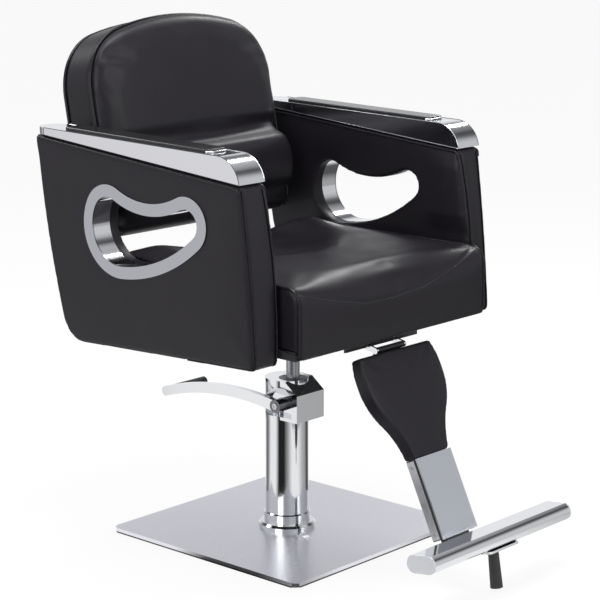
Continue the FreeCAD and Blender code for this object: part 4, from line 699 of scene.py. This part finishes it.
# The backrest: a timber frame in foam and black imitation leather. A corded seam joins a plain band round its edge
# to a pillowed front with a fuller roll for the small of the back. A flat panel closes its rear.
plywood = finish("plywood", ((0.36, 0.23, 0.12), (0.50, 0.35, 0.20)), roughness=(0.5, 0.7),
                 grain=0.01, relief=0.0001, stretch=(0.1, 1.0, 1.0))
back_leather = imitation_leather("back_leather")
dress(plywood, "back_frame")
dress(zinc_steel, "back_bolts")
dress(black_steel, "back_spacers")
back_lean = math.radians(12.0)
back_foot = Vector((0.0, 0.2844, 0.543))
back_upright = Matrix.Rotation(back_lean, 4, "X") @ Matrix.Translation(-back_foot)
band, seam_middle = 0.078, 0.174
back_cover = foam("back_cover", ["back_cushion", "back_frame", "rear_cover"], voxel=0.005, upright=back_upright)
stuff(back_cover, places(back_cover)[:, 1] > -band, pressure=2.5, most=0.005)
refine(back_cover)
for name, depth in (("front", band), ("rear", 0.008)):
    outside = [(across, -depth, seam_middle + up) for across, up in directions(-38, 218, 240)]
    seam = seam_round(back_cover, outside, (0.0, -depth, seam_middle))
    sew(back_cover, seam, width=0.010, depth=0.003)
    cord = cording(f"back_cord_{name}", seam, 0.0030, cord_leather)
    stand(cord, back_upright, "seat", cord_leather)
breadth = np.linspace(-0.25, 0.25, 160)
for height, width, depth in ((0.160, 0.030, 0.008), (0.040, 0.022, 0.005)):
    outside = [(across, -0.4, height) for across in breadth]
    crease = hits(back_cover, outside, [(across, 0.0, height) for across in breadth])
    sew(back_cover, crease, width, depth)
stand(back_cover, back_upright, "seat", back_leather)
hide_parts("back_cushion", "rear_cover")


# The leg rest: a shield-shaped pad on a thin board, hung from a steel bracket under the seat by a black tongue.
# Below it a stem with a brushed front plate and bright side strips carries the foot bar.
leg_leather = imitation_leather("leg_leather")
pale_satin = finish("pale_satin", ((0.74, 0.75, 0.78), (0.80, 0.81, 0.84)), roughness=(0.3, 0.36),
                    grain=0.02, relief=0.0, metal=1.0)
stem_brushed = finish("stem_brushed", ((0.62, 0.64, 0.69), (0.65, 0.67, 0.72)), roughness=(0.28, 0.32),
                      grain=0.0012, relief=0.0, metal=1.0, stretch=(1.0, 1.0, 0.03))
dress(plywood, "legrest_board")
dress(black_steel, "legrest_bracket", "legrest_tongue", "stem_core")
dress(chrome, "hinge_straps", "hinge_pin")
dress(pale_satin, "stem_strips")
dress(stem_brushed, "stem_front_plate")
leg_lean = math.radians(25.5)
leg_hinge = Vector((0.0, -0.243, 0.389))
leg_upright = Matrix.Rotation(leg_lean, 4, "X") @ Matrix.Translation(-leg_hinge)
strip_face, strip_middle, screw_heights = 0.0477, -0.0005, (-0.211, -0.333)
for side, outwards in (("left", 1), ("right", -1)):
    fix(f"strip_screws_{side}", [(outwards * strip_face, strip_middle, height) for height in screw_heights],
        radius=0.0032, height=0.0016, socket=0.0009, turn=(0.0, outwards * math.pi / 2, 0.0),
        material=zinc_steel, body="legrest", upright=leg_upright)
leg_cover = foam("leg_cover", ["legrest_pad", "legrest_board"], voxel=0.003, upright=leg_upright)
stuff(leg_cover, places(leg_cover)[:, 1] > -0.010, pressure=1.2, most=0.002)
refine(leg_cover)
stand(leg_cover, leg_upright, "legrest", leg_leather)
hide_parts("legrest_pad", "legrest_board")


# The foot bar: a flat-topped chrome tube with pale end caps, on a hinged plate under the stem.
# A rubber peg on a stud hangs below it.
# Painted reflection: the chrome-like end caps get a pale grey with little metal, standing in for the bright
# reflection they show.
end_cap_painted_shine = finish("end_cap_painted_shine", ((0.60, 0.61, 0.64), (0.66, 0.67, 0.70)), roughness=(0.3, 0.4),
                      grain=0.01, relief=0.0, metal=0.25)
dress(chrome, "footbar_tube", "footbar_bracket")
dress(end_cap_painted_shine, "footbar_caps")
dress(zinc_steel, "footbar_pin", "footbar_bolts", "peg_stud")
dress(black_rubber, "peg_sleeve")


# The studio: a pale floor, soft light from above and from all round, and a long lens at about chest height.
# Polished metal sees open light and dark drapes, by compass heading and by height.
def bands(nodes, stops):
    """A colour ramp with a colour at each given place from 0 to 1."""
    made = nodes.new("ShaderNodeValToRGB")
    elements = made.color_ramp.elements
    for number, (position, colour) in enumerate(stops):
        stop = elements[number] if number < 1 else elements.new(position)
        stop.position = position
        stop.color = (*colour, 1.0)
    elements.remove(elements[len(stops)])
    return made


def sides(nodes, links, heading):
    """How bright the studio is all round, by heading in degrees from the camera's side."""
    turned = nodes.new("ShaderNodeMapping")
    turned.inputs["Rotation"].default_value = (0.0, 0.0, math.radians(138.0))
    parts = nodes.new("ShaderNodeSeparateXYZ")
    angle = reckon(nodes, "ARCTAN2")
    share = nodes.new("ShaderNodeMapRange")
    share.inputs["From Min"].default_value = -math.pi
    share.inputs["From Max"].default_value = math.pi
    greys = ((-180, 1.0), (-150, 0.9), (-132, 0.12), (-112, 0.3), (-92, 1.0), (-60, 1.0), (-42, 0.02),
             (-14, 0.02), (6, 0.4), (26, 1.0), (58, 1.0), (86, 0.5), (104, 0.42), (118, 0.1), (138, 0.12),
             (156, 0.9), (180, 1.0))
    drapes = bands(nodes, [(degrees / 360 + 0.5, (grey, grey, grey)) for degrees, grey in greys])
    links.new(heading, turned.inputs["Vector"])
    links.new(turned.outputs["Vector"], parts.inputs[0])
    links.new(parts.outputs["Y"], angle.inputs[0])
    links.new(parts.outputs["X"], angle.inputs[1])
    links.new(angle.outputs[0], share.inputs["Value"])
    links.new(share.outputs["Result"], drapes.inputs[0])
    return drapes.outputs[0]


floor_mesh = bpy.data.meshes.new("floor")
floor_mesh.from_pydata([(-40, -40, 0), (40, -40, 0), (40, 40, 0), (-40, 40, 0)], [], [(0, 1, 2, 3)])
floor = add("floor", floor_mesh)
floor_white = bpy.data.materials.new("floor_white")
floor_white.use_nodes = True
nodes, links = floor_white.node_tree.nodes, floor_white.node_tree.links
paint = nodes["Principled BSDF"]
paint.inputs["Base Color"].default_value = (0.86, 0.86, 0.86, 1.0)
paint.inputs["Roughness"].default_value = 0.9
paint.inputs["Specular IOR Level"].default_value = 0.0
glow = nodes.new("ShaderNodeEmission")
rays = nodes.new("ShaderNodeLightPath")
spot = nodes.new("ShaderNodeTexCoord")
bright = reckon(nodes, "MAXIMUM")
seen = reckon(nodes, "MAXIMUM")
share = reckon(nodes, "MULTIPLY", 0.9)
mixed = nodes.new("ShaderNodeMixShader")
links.new(sides(nodes, links, spot.outputs["Object"]), bright.inputs[0])
links.new(rays.outputs["Is Camera Ray"], bright.inputs[1])
links.new(bright.outputs[0], glow.inputs["Strength"])
links.new(rays.outputs["Is Camera Ray"], share.inputs[0])
links.new(share.outputs[0], seen.inputs[0])
links.new(rays.outputs["Is Glossy Ray"], seen.inputs[1])
links.new(seen.outputs[0], mixed.inputs[0])
links.new(paint.outputs[0], mixed.inputs[1])
links.new(glow.outputs[0], mixed.inputs[2])
links.new(mixed.outputs[0], nodes["Material Output"].inputs["Surface"])
floor_mesh.materials.append(floor_white)

world = bpy.data.worlds.new("studio")
bpy.context.scene.world = world
world.use_nodes = True
nodes, links = world.node_tree.nodes, world.node_tree.links
room = nodes["Background"]
heading = nodes.new("ShaderNodeTexCoord")
rise = nodes.new("ShaderNodeSeparateXYZ")
greys = ((0.0, 0.95), (0.26, 0.95), (0.38, 0.72), (0.48, 0.25), (0.57, 0.12), (0.64, 0.6), (0.69, 0.9),
         (0.76, 0.9), (0.86, 0.5), (1.0, 0.45))
walls = bands(nodes, [(height, (0.97 * grey, 0.98 * grey, grey)) for height, grey in greys])
draped = nodes.new("ShaderNodeMix")
draped.data_type = "RGBA"
draped.blend_type = "MULTIPLY"
draped.inputs[0].default_value = 0.5
white = nodes.new("ShaderNodeBackground")
white.inputs["Color"].default_value = (1.0, 1.0, 1.0, 1.0)
rays = nodes.new("ShaderNodeLightPath")
mixed = nodes.new("ShaderNodeMixShader")
links.new(heading.outputs["Generated"], rise.inputs[0])
links.new(rise.outputs["Z"], walls.inputs[0])
links.new(walls.outputs[0], draped.inputs[6])
links.new(sides(nodes, links, heading.outputs["Generated"]), draped.inputs[7])
links.new(draped.outputs[2], room.inputs["Color"])
links.new(rays.outputs["Is Camera Ray"], mixed.inputs[0])
links.new(room.outputs[0], mixed.inputs[1])
links.new(white.outputs[0], mixed.inputs[2])
links.new(mixed.outputs[0], nodes["World Output"].inputs["Surface"])


def softbox(name, place, aim, size, watts):
    """A flat soft light of a size in metres, at a place and aimed at another."""
    lamp = bpy.data.lights.new(name, "AREA")
    lamp.shape = "RECTANGLE"
    lamp.size, lamp.size_y = size
    lamp.energy = watts
    light = add(name, lamp)
    light.location = place
    light.rotation_euler = (Vector(aim) - Vector(place)).to_track_quat("-Z", "Y").to_euler()


softbox("top_light", (-0.1, -0.3, 3.0), (0.0, 0.0, 0.5), size=(1.6, 1.0), watts=50)
softbox("rim_light", (2.3, 0.5, 2.6), (0.0, 0.0, 0.5), size=(0.35, 1.2), watts=34)
softbox("back_light", (-0.8, 2.4, 2.7), (0.0, 0.0, 0.6), size=(1.2, 0.8), watts=22)
softbox("left_light", (-3.0, -0.4, 1.8), (0.0, 0.0, 0.5), size=(1.4, 2.0), watts=35)
softbox("front_light", (0.8, -3.3, 2.3), (0.0, 0.0, 0.5), size=(1.2, 1.4), watts=25)

lens = bpy.data.cameras.new("camera")
lens.lens = 121.0
lens.sensor_width = 36.0
camera = add("camera", lens)
camera.location = (-2.650, -2.422, 1.220)
aim = Vector((0.0161, -0.0178, 0.438)) - camera.location
camera.rotation_euler = aim.to_track_quat("-Z", "Y").to_euler()
bpy.context.scene.camera = camera
bpy.context.scene.view_settings.view_transform = "Standard"
